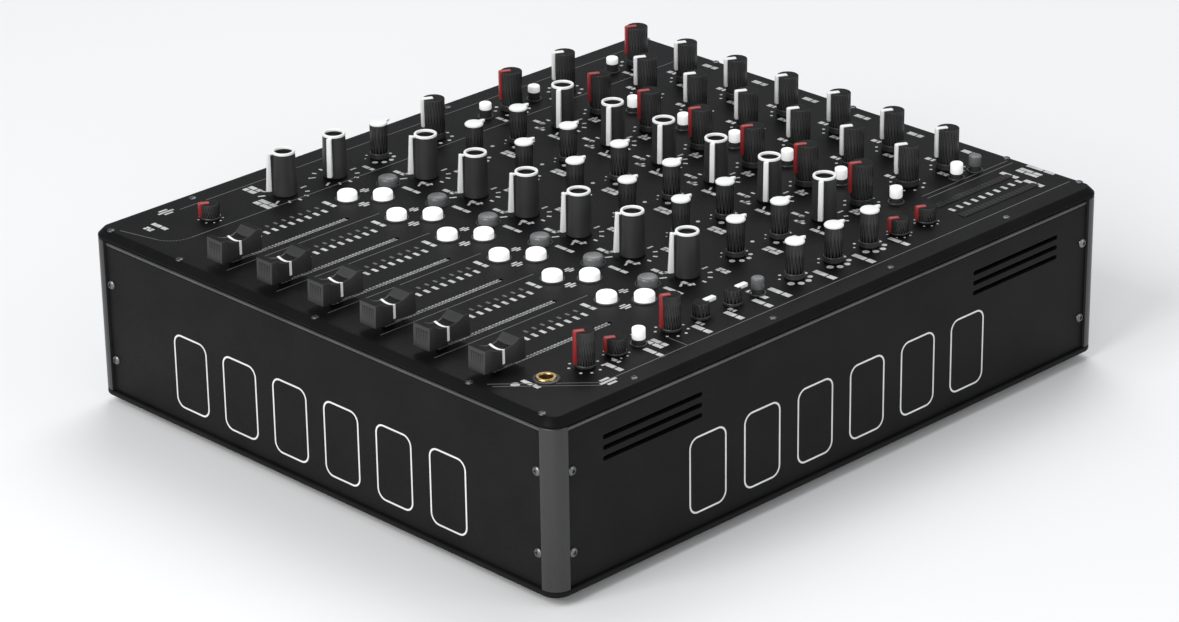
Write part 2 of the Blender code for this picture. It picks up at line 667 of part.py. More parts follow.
def build_banks():
    """Rows of controls on shared carriers under the plate."""
    foot = (STRIP_TOP + STRIP_BOTTOM) / 2
    cap = cap_knob_mesh(foot)
    line = line_knob_mesh(foot, LINE_KNOB_R, LINE_KNOB_H, RIB_FOOT)
    slim = line_knob_mesh(foot, SLIM_KNOB_R, SLIM_KNOB_H, SLIM_RIB_FOOT)
    small = round_stud_mesh("small_knob", SMALL_KNOB_R, SMALL_KNOB_H, foot)
    switch = switch_mesh(foot)
    button = round_stud_mesh("small_button", BUTTON_R, BUTTON_H, foot)
    key = plunger_mesh("fixed_key", CUE_R, CUE_H, CUE_DOME, foot, KNOB_SIDES)
    left = LEFT_COLUMN
    right = RIGHT_COLUMN
    controls = [(cap, x, row, 0.0) for x in CHANNEL_XS for row in (ROW_CAP_FRONT, ROW_CAP_BACK)]
    controls += [(line, x, ROW_LINE_FRONT, AT_MIN) for x in CHANNEL_XS]
    controls += [(cap, left, LEFT_CAP_Y, 0.0)]
    controls += [(line, left, y, AT_MIN) for y in LEFT_LINE_YS + LEFT_RED_YS]
    controls += [(button, LEFT_BUTTON_X, y, 0.0) for y in LEFT_BUTTON_YS]
    controls += [(cap, right, y, 0.0) for y in RIGHT_CAP_YS]
    controls += [(slim, right, y, AT_MIN) for y in RIGHT_RED_YS]
    controls += [(small, right, y, 0.0) for y in RIGHT_SMALL_YS]
    controls += [(switch, right, y, 0.0) for y in RIGHT_SWITCH_YS]
    controls += [(button, right, y, 0.0) for y in RIGHT_BUTTON_YS]
    controls += [(button, BACK_BUTTON_X, y, 0.0) for y in BACK_BUTTON_YS]
    spines = [(left, left, LEFT_CAP_Y, max(LEFT_RED_YS)),
              (right, right, min(RIGHT_RED_YS), ROW_LINE_FRONT),
              (BACK_BUTTON_X, BACK_BUTTON_X, ROW_LINE_FRONT + STRIP_W, max(BACK_BUTTON_YS))]
    rows = [(left, right, row, row) for row in (ROW_CAP_FRONT, ROW_CAP_BACK)]
    rows += [(left, right, ROW_LINE_FRONT, ROW_LINE_FRONT + STRIP_W / 2)]
    bank_object("knob_bank", spines, rows, controls, KNOB_PLASTIC)

    keys = [(key, x + CUE_BACK_DX, ROW_CUE_BACK, 0.0) for x in CHANNEL_XS]
    keys += [(key, x + MUTE_DX, ROW_MUTE, 0.0) for x in CHANNEL_XS]
    keys += [(small, left, LEFT_SMALL_Y, 0.0)]
    arm_x = (left + CHANNEL_XS[0]) / 2
    row_end = CHANNEL_XS[-1] + CUE_BACK_DX
    spines = [(arm_x, row_end, ROW_CUE_BACK, ROW_MUTE), (left, arm_x, LEFT_SMALL_Y, LEFT_SMALL_Y)]
    rows = [(arm_x, arm_x, LEFT_SMALL_Y, ROW_CUE_BACK)]
    bank_object("key_bank", spines, rows, keys, KEY_WHITE)

    sends = [(button, x + SEND_DX, ROW_SEND, 0.0) for x in CHANNEL_XS]
    spines = [(CHANNEL_XS[0] + SEND_DX, CHANNEL_XS[-1] + SEND_DX, ROW_SEND, ROW_SEND)]
    bank_object("send_button_bank", spines, [], sends, KEY_WHITE)


def build_jack():
    """Headphone socket with an open bore, seated in the plate by its flange."""
    floor = JACK_FLANGE_T + FIT - JACK_BORE_DEPTH
    rim = JACK_FLANGE_T + FIT
    profile = [(0.0, floor), (JACK_BORE_R, floor), (JACK_BORE_R, rim), (JACK_FLANGE_R, rim),
               (JACK_FLANGE_R, FIT), (JACK_R, FIT), (JACK_R, -JACK_DEPTH), (0.0, -JACK_DEPTH)]
    place_object("headphone_socket", turned_mesh("headphone_socket", profile, JACK_SIDES), BRIGHT_METAL,
                 (RIGHT_JACK_X, RIGHT_JACK_Y, FACE_Z))


def build_mains():
    """Mains inlet with its open socket, the rocker switch in its well, and the power supply."""
    seat_y = CASE_D / 2 - PANEL_INSET + FIT
    face_y = seat_y + INLET_FLANGE_T
    half_w = INLET_W / 2
    half_h = INLET_H / 2
    bm = bmesh.new()
    add_box(bm, (INLET_X - half_w, face_y - INLET_DEPTH, INLET_Z - half_h),
            (INLET_X + half_w, face_y - INLET_FLANGE_T / 2, INLET_Z + half_h))
    inlet = place_object("mains_inlet", close_mesh(bm, "mains_inlet"), KNOB_PLASTIC)
    bm = bmesh.new()
    add_box(bm, (INLET_X - half_w - INLET_FLANGE, seat_y, INLET_Z - half_h - INLET_FLANGE),
            (INLET_X + half_w + INLET_FLANGE, face_y, INLET_Z + half_h + INLET_FLANGE))
    apply_boolean(inlet, close_mesh(bm, "inlet_flange"), "UNION")
    socket_x = INLET_X + SOCKET_DX
    rocker_x = INLET_X + ROCKER_DX
    well_w = ROCKER_W / 2 + ROCKER_PLAY
    well_h = ROCKER_H / 2 + ROCKER_PLAY
    bm = bmesh.new()
    add_box(bm, (socket_x - SOCKET_W / 2, face_y - SOCKET_DEPTH, INLET_Z - SOCKET_H / 2),
            (socket_x + SOCKET_W / 2, face_y + INLET_DEPTH, INLET_Z + SOCKET_H / 2))
    add_box(bm, (rocker_x - well_w, face_y - ROCKER_WELL_DEPTH, INLET_Z - well_h),
            (rocker_x + well_w, face_y + INLET_DEPTH, INLET_Z + well_h))
    apply_boolean(inlet, close_mesh(bm, "inlet_wells"), "DIFFERENCE")

    bm = bmesh.new()
    add_box(bm, (-ROCKER_W / 2, -ROCKER_T / 2, -ROCKER_H / 2), (ROCKER_W / 2, ROCKER_T / 2, ROCKER_H / 2))
    rocker = place_object("power_switch", close_mesh(bm, "power_switch"), KNOB_PLASTIC)
    drop = math.sin(math.radians(ROCKER_TILT)) * ROCKER_H / 2
    rocker.location = (rocker_x, face_y - ROCKER_T / 2 - drop, INLET_Z)
    rocker.rotation_euler = (math.radians(ROCKER_TILT), 0.0, 0.0)

    low = DECK_Z
    bm = bmesh.new()
    add_box(bm, (SUPPLY_X - SUPPLY_W / 2, SUPPLY_Y - SUPPLY_D / 2, low),
            (SUPPLY_X + SUPPLY_W / 2, SUPPLY_Y + SUPPLY_D / 2, low + SUPPLY_H))
    place_object("power_supply", close_mesh(bm, "power_supply"), CASE_METAL)


build_case()
build_panels()
build_top_plate()
build_board()
build_jointed_controls()
build_banks()
build_jack()
build_mains()
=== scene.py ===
"""Dresses the desktop mixer: finishes, case, knobs, faders, keys, print, sockets and studio.

Sizes and places are in millimetres, and Shape and at() turn them into metres. The studio is in metres.
"""

import json
import logging
import math
from dataclasses import dataclass
from enum import Enum
from typing import Callable, Iterator, Sequence

import bmesh
import bpy
from mathutils import Matrix, Vector


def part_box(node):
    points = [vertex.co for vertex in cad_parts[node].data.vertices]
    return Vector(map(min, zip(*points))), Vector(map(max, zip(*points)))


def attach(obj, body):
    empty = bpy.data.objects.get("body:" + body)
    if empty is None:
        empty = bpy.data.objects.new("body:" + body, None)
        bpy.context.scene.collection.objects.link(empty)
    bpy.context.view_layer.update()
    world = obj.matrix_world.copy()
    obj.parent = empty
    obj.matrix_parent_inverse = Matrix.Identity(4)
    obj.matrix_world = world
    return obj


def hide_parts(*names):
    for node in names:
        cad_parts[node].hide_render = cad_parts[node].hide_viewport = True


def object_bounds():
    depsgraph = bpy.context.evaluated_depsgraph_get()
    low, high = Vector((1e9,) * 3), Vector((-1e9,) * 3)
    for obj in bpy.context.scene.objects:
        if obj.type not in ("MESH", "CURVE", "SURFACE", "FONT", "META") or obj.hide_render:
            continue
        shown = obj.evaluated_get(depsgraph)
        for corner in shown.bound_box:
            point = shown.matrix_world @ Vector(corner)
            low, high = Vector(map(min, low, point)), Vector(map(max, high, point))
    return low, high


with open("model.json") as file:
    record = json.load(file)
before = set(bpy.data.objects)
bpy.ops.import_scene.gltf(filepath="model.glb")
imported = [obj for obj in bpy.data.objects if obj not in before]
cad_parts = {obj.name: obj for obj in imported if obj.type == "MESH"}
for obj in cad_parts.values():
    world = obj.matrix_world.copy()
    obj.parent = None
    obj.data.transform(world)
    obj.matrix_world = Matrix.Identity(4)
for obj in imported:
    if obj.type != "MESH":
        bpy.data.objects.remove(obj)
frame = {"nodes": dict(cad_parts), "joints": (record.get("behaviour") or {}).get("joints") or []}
CAD_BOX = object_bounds()
LOG = logging.getLogger("mixer")

MM = 0.001
CAD_LOW, CAD_HIGH = ([value / MM for value in corner] for corner in CAD_BOX)
NEAR = 1e-6  # metres, for tests that pick edges
WELD = 1e-7  # metres, for doubles and cuts
DOMED = 50.0  # degrees, past which an edge of a domed cap stays sharp
ROOT = "chassis"
CHANNELS = range(1, 7)
CORNERS = [(f"{end}_{side}", i, j) for j, end in enumerate(("front", "rear"))
           for i, side in enumerate(("left", "right"))]
SWEEP = math.radians(300.0)
AT_MIN, AT_MAX = SWEEP / 2, -SWEEP / 2
INK_RISE, INK_SINK = 0.06, 0.03
QUARTER = math.pi / 2
HERE = Matrix.Identity(4)
STANDING = Matrix.Rotation(QUARTER, 4, "X")
SIDEWAYS = Matrix.Rotation(QUARTER, 4, "Z") @ STANDING
SWAP_X_Z = Matrix(((0, 0, 1, 0), (0, 1, 0, 0), (1, 0, 0, 0), (0, 0, 0, 1)))

Point = tuple[float, float]
Points = Sequence[Point]
EdgeTest = Callable[[bmesh.types.BMEdge], bool]


def set_inputs(node: bpy.types.Node, values: dict[str, object]) -> bpy.types.Node:
    """Set a node's inputs by name.

    Args:
        node: Node to set.
        values: Value of each input.

    Returns:
        The node.
    """
    for name, value in values.items():
        node.inputs[name].default_value = value
    return node


@dataclass(frozen=True)
class Finish:
    """Procedural surface on object coordinates: varied colour, varied gloss and a fine relief."""

    name: str
    slot: str
    colour: tuple[float, float, float]
    roughness: float
    metallic: float = 0.0
    tint_spread: float = 0.22
    gloss_spread: float = 0.1
    grain: float = 1400.0
    cloud: float = 38.0
    relief: float = 0.16
    relief_depth: float = 0.0001
    stretch: tuple[float, float, float] = (1.0, 1.0, 1.0)
    glow: float = 0.0
    reflection: float = 0.5

    def build(self) -> bpy.types.Material:
        """Make the node material.

        Returns:
            The finished material.
        """
        material = bpy.data.materials.new(self.name)
        material.use_nodes = True
        new, link = material.node_tree.nodes.new, material.node_tree.links.new
        shader = set_inputs(material.node_tree.nodes["Principled BSDF"], {
            "Metallic": self.metallic, "Specular IOR Level": self.reflection})
        if self.glow:
            set_inputs(shader, {"Emission Color": (*self.colour, 1.0), "Emission Strength": self.glow})
        mapping = set_inputs(new("ShaderNodeMapping"), {"Scale": self.stretch})
        link(new("ShaderNodeTexCoord").outputs["Object"], mapping.inputs["Vector"])
        cloud = set_inputs(new("ShaderNodeTexNoise"), {"Scale": self.cloud, "Detail": 4.0})
        grain = set_inputs(new("ShaderNodeTexNoise"), {"Scale": self.grain, "Detail": 2.0})
        for noise in (cloud, grain):
            link(mapping.outputs["Vector"], noise.inputs["Vector"])
        ramp = new("ShaderNodeValToRGB")
        ends = ((0.3, 1 - self.tint_spread), (0.72, 1 + self.tint_spread))
        for element, (position, share) in zip(ramp.color_ramp.elements, ends):
            element.position = position
            element.color = (*[min(1.0, channel * share) for channel in self.colour], 1.0)
        gloss = set_inputs(new("ShaderNodeMapRange"), {
            "From Min": 0.25, "From Max": 0.75, "To Min": max(0.05, self.roughness - self.gloss_spread),
            "To Max": min(1.0, self.roughness + self.gloss_spread)})
        bump = set_inputs(new("ShaderNodeBump"), {"Strength": self.relief, "Distance": self.relief_depth})
        link(cloud.outputs["Fac"], ramp.inputs["Fac"])
        link(ramp.outputs["Color"], shader.inputs["Base Color"])
        link(grain.outputs["Fac"], gloss.inputs["Value"])
        link(gloss.outputs["Result"], shader.inputs["Roughness"])
        link(grain.outputs["Fac"], bump.inputs["Height"])
        link(bump.outputs["Normal"], shader.inputs["Normal"])
        return material


class Coat(Enum):
    """Finishes of the mixer's surfaces."""

    CASE = Finish("case_powder_coat", "case_paint", (0.0065, 0.0065, 0.0068), 0.5, reflection=0.1)
    PLATE = Finish("faceplate_satin", "faceplate", (0.0045, 0.0045, 0.0048), 0.5, grain=2200.0, relief=0.1,
                   reflection=0.07)
    POST = Finish("corner_post_satin", "corner_metal", (0.04, 0.04, 0.041), 0.34, metallic=0.35,
                  stretch=(1.0, 1.0, 0.04), grain=2600.0, relief=0.1)
    LIP = Finish("panel_lip_satin", "corner_metal", (0.1, 0.1, 0.104), 0.32, metallic=0.7, grain=2600.0,
                 relief=0.08)
    KNOB = Finish("knob_matte_black", "knob_plastic", (0.026, 0.026, 0.0265), 0.44, grain=2600.0,
                  reflection=0.42)
    # Darker, duller copy of the knob plastic for up-facing faces: painted shade on knob and fader tops.
    KNOB_TOP_SHADE = Finish("knob_top_black", "knob_plastic", (0.006, 0.006, 0.0063), 0.62, grain=2600.0,
                      reflection=0.1)
    WHITE = Finish("pointer_white", "key_white", (0.8, 0.8, 0.79), 0.42, tint_spread=0.04, grain=1800.0,
                   relief=0.05)
    RED = Finish("pointer_red", "red_knob_plastic", (0.3, 0.022, 0.024), 0.42, tint_spread=0.12, relief=0.05)
    LIT = Finish("key_lit_white", "key_white", (0.92, 0.92, 0.91), 0.38, tint_spread=0.03, relief=0.04,
                 glow=0.32)
    UNLIT = Finish("key_unlit_grey", "key_white", (0.125, 0.128, 0.13), 0.3, tint_spread=0.2, relief=0.04)
    INK = Finish("panel_print_white", "key_white", (0.7, 0.7, 0.69), 0.6, tint_spread=0.12, relief=0.05)
    LEGEND = Finish("legend_white", "key_white", (0.46, 0.46, 0.455), 0.6, tint_spread=0.25, cloud=260.0,
                    relief=0.05)
    FAINT_INK = Finish("legend_grey", "key_white", (0.08, 0.08, 0.08), 0.6, tint_spread=0.15, relief=0.05)
    SCREW = Finish("screw_black_steel", "corner_metal", (0.12, 0.12, 0.123), 0.33, metallic=1.0, grain=3000.0)
    PANEL_SCREW = Finish("screw_bright_steel", "corner_metal", (0.2, 0.2, 0.204), 0.36, metallic=1.0,
                         grain=3000.0)
    DUST_LIP = Finish("slot_dust_lip", "rubber", (0.34, 0.34, 0.34), 0.7, tint_spread=0.3, cloud=300.0,
                      relief=0.1)
    GILT = Finish("socket_gilt", "gilt_metal", (0.46, 0.31, 0.13), 0.34, metallic=1.0, grain=2400.0)
    NICKEL = Finish("socket_nickel", "bare_metal", (0.58, 0.57, 0.55), 0.27, metallic=1.0, grain=2400.0)
    SOCKET = Finish("socket_black", "knob_plastic", (0.014, 0.014, 0.014), 0.4, grain=1800.0)
    LENS = Finish("meter_lens", "knob_plastic", (0.004, 0.004, 0.0045), 0.3, gloss_spread=0.05, relief=0.02,
                  reflection=0.12)
    LED_GREEN = Finish("meter_segment_green", "knob_plastic", (0.009, 0.015, 0.009), 0.3, relief=0.03,
                       reflection=0.15)
    LED_AMBER = Finish("meter_segment_amber", "knob_plastic", (0.017, 0.012, 0.007), 0.3, relief=0.03,
                       reflection=0.15)
    LED_RED = Finish("meter_segment_red", "knob_plastic", (0.019, 0.008, 0.007), 0.3, relief=0.03,
                     reflection=0.15)
    RUBBER = Finish("foot_rubber_finish", "rubber", (0.014, 0.014, 0.014), 0.82, relief=0.25)
    BOARD = Finish("board_mask", "circuit_board", (0.016, 0.095, 0.042), 0.42)
    SHEET = Finish("supply_sheet", "bare_metal", (0.5, 0.5, 0.51), 0.38, metallic=1.0)

    @property
    def slot(self) -> str:
        """Record slot that the finish belongs to."""
        return self.value.slot

    @property
    def material(self) -> bpy.types.Material:
        """Blender material of the finish, made on first use."""
        return bpy.data.materials.get(self.value.name) or self.value.build()


def at(x: float, y: float, z: float, turn: float = 0.0) -> Matrix:
    """Shift in millimetres, after a turn about Z in radians."""
    return Matrix.Translation((x * MM, y * MM, z * MM)) @ Matrix.Rotation(turn, 4, "Z")


def turn_to(direction: Vector) -> Matrix:
    """Rotation that carries +Z to a direction."""
    return Vector((0.0, 0.0, 1.0)).rotation_difference(direction).to_matrix().to_4x4()


def box(node: str) -> list[list[float]]:
    """Lowest and highest corner of a frame node."""
    return [[value / MM for value in corner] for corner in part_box(node)]


def over(node: str, level: float) -> Matrix:
    """Place on the upright axis of a frame node, at a level."""
    low, high = box(node)
    return at((low[0] + high[0]) / 2, (low[1] + high[1]) / 2, level)


def hinge_point(joint: str) -> list[float]:
    """Point on the axis of a hinge of the frame."""
    found = next(item for item in frame["joints"] if item["name"] == joint)
    return [value / MM for value in found["pos_m"]]


def arc(cx: float, cy: float, radius: float, start: float, end: float, steps: int) -> list[Point]:
    """Points on an arc.

    Args:
        cx: Centre along the first axis.
        cy: Centre along the second axis.
        radius: Radius of the arc.
        start: First angle in degrees.
        end: Last angle in degrees.
        steps: Facets of the arc.

    Returns:
        The points, both ends included.
    """
    angles = [math.radians(start + (end - start) * i / steps) for i in range(steps + 1)]
    return [(cx + radius * math.cos(a), cy + radius * math.sin(a)) for a in angles]


def circle(radius: float, count: int, x: float = 0.0, y: float = 0.0) -> list[Point]:
    """Points all round a circle about x and y."""
    return arc(x, y, radius, 0, 360 - 360 / count, count - 1)


def rounded_outline(width: float, depth: float, radius: float, steps: int = 10) -> list[Point]:
    """Rectangle with round corners, about the origin.

    Args:
        width: Size along X.
        depth: Size along Y.
        radius: Corner radius.
        steps: Facets of a corner.

    Returns:
        The outline, counter-clockwise.
    """
    x, y = width / 2 - radius, depth / 2 - radius
    points: list[Point] = []
    for cx, cy, start in ((x, y, 0), (-x, y, 90), (-x, -y, 180), (x, -y, 270)):
        points += arc(cx, cy, radius, start, start + 90, steps)
    return points


def slot_outline(width: float, length: float) -> list[Point]:
    """Outline of a slot along Y with round ends, which keep a short flat."""
    return rounded_outline(width, length, width / 2 * 0.98, 6)


def on_level(*levels: float) -> EdgeTest:
    """Test for edges that lie on one of the levels."""
    return lambda edge: any(all(abs(v.co.z - z * MM) < NEAR for v in edge.verts) for z in levels)


def bent(angle: float) -> EdgeTest:
    """Test for edges whose faces meet at more than an angle in radians."""
    return lambda edge: edge.calc_face_angle(0.0) > angle


@dataclass(frozen=True)
class Made:
    """Finished mesh, and the finish that names its record slot."""

    mesh: bpy.types.Mesh
    coat: Coat


class Shape:
    """Mesh under construction, from bmesh operators. Every step returns the shape."""

    def __init__(self) -> None:
        """Start with no faces."""
        self.bm = bmesh.new()

    def absorb(self, other: bmesh.types.BMesh, place: Matrix = HERE) -> "Shape":
        """Take over another bmesh's faces.

        Args:
            other: Bmesh to take and free.
            place: Transform for its vertices.

        Returns:
            This shape.
        """
        other.transform(place)
        loose = bpy.data.meshes.new("loose")
        other.to_mesh(loose)
        other.free()
        self.bm.from_mesh(loose)
        bpy.data.meshes.remove(loose)
        return self

    def lathe(self, profile: Points, steps: int, place: Matrix = HERE) -> "Shape":
        """Turn a profile of radius and height about Z.

        Args:
            profile: Points from the top down the outer side.
            steps: Facets round the axis.
            place: Transform of the turned form.

        Returns:
            This shape.
        """
        bm = bmesh.new()
        points = [bm.verts.new((radius * MM, 0.0, height * MM)) for radius, height in profile]
        edges = [bm.edges.new(pair) for pair in zip(points, points[1:])]
        bmesh.ops.spin(bm, geom=points + edges, cent=(0, 0, 0), axis=(0, 0, 1), angle=2 * math.pi,
                       steps=steps, use_merge=True)
        bmesh.ops.remove_doubles(bm, verts=bm.verts, dist=WELD)
        bmesh.ops.recalc_face_normals(bm, faces=bm.faces)
        return self.absorb(bm, place)

    def block(self, low: Sequence[float], high: Sequence[float], radius: float = 0.0,
              segments: int = 1) -> "Shape":
        """Add a box, with its edges rounded where a radius is given.

        Args:
            low: Lowest corner.
            high: Highest corner.
            radius: Edge rounding.
            segments: Facets of the rounding.

        Returns:
            This shape.
        """
        size = [(b - a) * MM for a, b in zip(low, high)]
        place = at(*((a + b) / 2 for a, b in zip(low, high))) @ Matrix.Diagonal((*size, 1.0))
        bm = bmesh.new()
        bmesh.ops.create_cube(bm, size=1.0, matrix=place)
        if radius:
            bmesh.ops.bevel(bm, geom=bm.edges[:], offset=radius * MM, segments=segments, profile=0.5,
                            affect="EDGES", material=-1)
        return self.absorb(bm)

    def prism(self, outline: Points, low: float, high: float, place: Matrix = HERE) -> "Shape":
        """Extrude a flat outline along Z.

        Args:
            outline: Points of the outline in X and Y.
            low: Lower level.
            high: Upper level.
            place: Transform of the prism.

        Returns:
            This shape.
        """
        bm = bmesh.new()
        face = bm.faces.new([bm.verts.new((x * MM, y * MM, low * MM)) for x, y in outline])
        grown = bmesh.ops.extrude_face_region(bm, geom=[face])
        raised = [item for item in grown["geom"] if isinstance(item, bmesh.types.BMVert)]
        bmesh.ops.translate(bm, verts=raised, vec=(0.0, 0.0, (high - low) * MM))
        bmesh.ops.recalc_face_normals(bm, faces=bm.faces)
        return self.absorb(bm, place)

    def round_where(self, keep: EdgeTest, radius: float, segments: int) -> "Shape":
        """Bevel the edges that a test picks.

        Args:
            keep: Test that takes an edge.
            radius: Width of the bevel.
            segments: Facets of the bevel.

        Returns:
            This shape.
        """
        edges = [edge for edge in self.bm.edges if keep(edge)]
        bmesh.ops.bevel(self.bm, geom=edges, offset=radius * MM, segments=segments, profile=0.5,
                        affect="EDGES", material=-1, clamp_overlap=True)
        return self

    def carve(self, cutter: "Shape") -> "Shape":
        """Cut another shape out of this one.

        Args:
            cutter: Closed shape to remove.

        Returns:
            This shape.
        """
        pair = []
        for name, shape in (("carved", self), ("carver", cutter)):
            mesh = bpy.data.meshes.new(name)
            shape.bm.to_mesh(mesh)
            shape.bm.free()
            pair.append(bpy.data.objects.new(name, mesh))
            bpy.context.scene.collection.objects.link(pair[-1])
        modifier = pair[0].modifiers.new("carve", "BOOLEAN")
        modifier.operation = "DIFFERENCE"
        modifier.solver = "EXACT"
        modifier.object = pair[1]
        bpy.context.view_layer.update()
        solved = pair[0].evaluated_get(bpy.context.evaluated_depsgraph_get())
        result = bpy.data.meshes.new_from_object(solved)
        self.bm = bmesh.new()
        self.bm.from_mesh(result)
        meshes = [result, *(obj.data for obj in pair)]
        for obj in pair:
            bpy.data.objects.remove(obj, do_unlink=True)
        for mesh in meshes:
            bpy.data.meshes.remove(mesh)
        return self

    def made(self, coat: Coat, sharp: float = 34.0, top: Coat | None = None) -> Made:
        """Finish the shape as a mesh.

        Args:
            coat: Finish of its surface.
            sharp: Angle in degrees past which an edge stays sharp.
            top: Darker finish of the faces that look straight up, which paints shade on them, if one is
                given.

        Returns:
            The mesh with its finish.
        """
        if top:
            # Faces that look straight up take the second finish, which paints shade on them.
            for face in self.bm.faces:
                face.material_index = int(face.normal.z > 0.9)
        mesh = bpy.data.meshes.new("made")
        self.bm.to_mesh(mesh)
        self.bm.free()
        for finish in filter(None, (coat, top)):
            mesh.materials.append(finish.material)
        mesh.shade_smooth()
        mesh.set_sharp_from_angle(angle=math.radians(sharp))
        return Made(mesh, coat)


@dataclass
class Workshop:
    """Places finished meshes as pieces that ride on the frame's bodies."""

    count: int = 0

    def stamp(self, name: str, made: Made, place: Matrix = HERE, body: str = ROOT,
              replaced: str = "") -> None:
        """Put a copy of a mesh in its place.

        Args:
            name: Name of the piece.
            made: Mesh to copy, with its finish.
            place: Transform that goes into the mesh.
            body: Body that the piece rides on.
            replaced: Frame node that the piece stands for, if any.
        """
        mesh = made.mesh.copy()
        mesh.name = name
        mesh.transform(place)
        piece = bpy.data.objects.new(name, mesh)
        bpy.context.scene.collection.objects.link(piece)
        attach(piece, body)
        made.coat.slot
        if replaced:
            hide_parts(replaced)
        self.count += 1
        LOG.info("%s rides on %s", name, body)


class Facing(Enum):
    """Side of the case that a panel looks towards."""

    FRONT = (0.0, -1.0, 0.0)
    REAR = (0.0, 1.0, 0.0)
    LEFT = (-1.0, 0.0, 0.0)
    RIGHT = (1.0, 0.0, 0.0)

    @property
    def normal(self) -> Vector:
        """Outward direction."""
        return Vector(self.value)

    @property
    def along(self) -> Vector:
        """Level direction that the panel runs in."""
        return Vector((abs(self.normal.y), abs(self.normal.x), 0.0))

    @property
    def panel(self) -> str:
        """Frame node of the panel."""
        return self.name.lower() + "_panel"

    @property
    def reach(self) -> float:
        """Distance of the panel's outer face from the middle."""
        return max(Vector(corner).dot(self.normal) for corner in box(self.panel))

    def place(self, across: float, level: float) -> Matrix:
        """Place on the panel's outer face, with +Z looking outwards.

        Args:
            across: Distance from the middle along the panel.
            level: Height over the floor.

        Returns:
            The transform.
        """
        spot = self.normal * self.reach + self.along * across + Vector((0.0, 0.0, level))
        return at(*spot) @ turn_to(self.normal)

    def rim(self, level: float) -> EdgeTest:
        """Test for edges of the panel's outer face that lie on a level."""
        flat, reach = on_level(level), self.reach * MM
        return lambda edge: flat(edge) and all(abs(v.co.dot(self.normal) - reach) < NEAR for v in edge.verts)


@dataclass(frozen=True)
class Layout:
    """Places of the controls on the face. A pair is a shift from the channel's middle, and a row."""

    face: float = box("top_plate")[1][2]
    pitch: float = 40.0
    left: float = -140.0
    right: float = 142.5
    cue_front: Point = (-7.25, -87.5)
    cue_back: Point = (6.25, -73.5)
    mute: Point = (-6.75, -58.0)
    send: Point = (12.5, 114.0)
    ring_rows: Point = (-35.5, 70.0)
    cap_front: float = 1.0
    cap_back: float = 35.0
    red: float = 100.0
    line_front: float = 137.5
    line_back: float = 171.0
    fader_dx: float = 13.8
    slot_front: float = -189.8
    slot_back: float = -105.2
    left_small: float = -157.0
    left_cap: float = -34.5
    left_lines: Point = (7.5, 110.5)
    left_reds: Point = (68.0, 170.5)
    left_button_x: float = -142.5
    left_buttons: tuple[float, ...] = (49.5, 88.0, 152.0)
    right_reds: Point = (-152.0, -91.0)
    right_smalls: tuple[float, ...] = (-130.5, 82.5, 104.5)
    right_switches: Point = (-69.5, -46.0)
    right_caps: tuple[float, ...] = (0.5, 30.5, 58.5)
    right_lit: float = -114.5
    right_unlit: float = -27.5
    back_x: float = 113.5
    back_lit: float = 163.0
    back_unlit: float = 178.5

    def channel_x(self, channel: int) -> float:
        """Middle of a channel along X."""
        return (channel - 3.5) * self.pitch


PLAN = Layout()


@dataclass
class SubAssembly:
    """Group of pieces that a workshop places."""

    shop: Workshop

    def build(self) -> None:
        """Build the pieces and place them."""
        raise NotImplementedError


def screw_shape(radius: float, height: float) -> Shape:
    """Domed screw head with a round socket, standing on Z zero.

    Args:
        radius: Radius of the head.
        height: Height of the dome.

    Returns:
        The head.
    """
    dome = [(radius * math.sin(t), height * math.cos(t)) for t in map(math.radians, range(26, 91, 8))]
    mouth, brim = dome[0]
    well = [(0.0, height * 0.35), (mouth * 0.86, height * 0.35), (mouth * 0.92, brim - height * 0.04)]
    return Shape().lathe(well + dome + [(radius, -0.4), (0.0, -0.4)], 24)


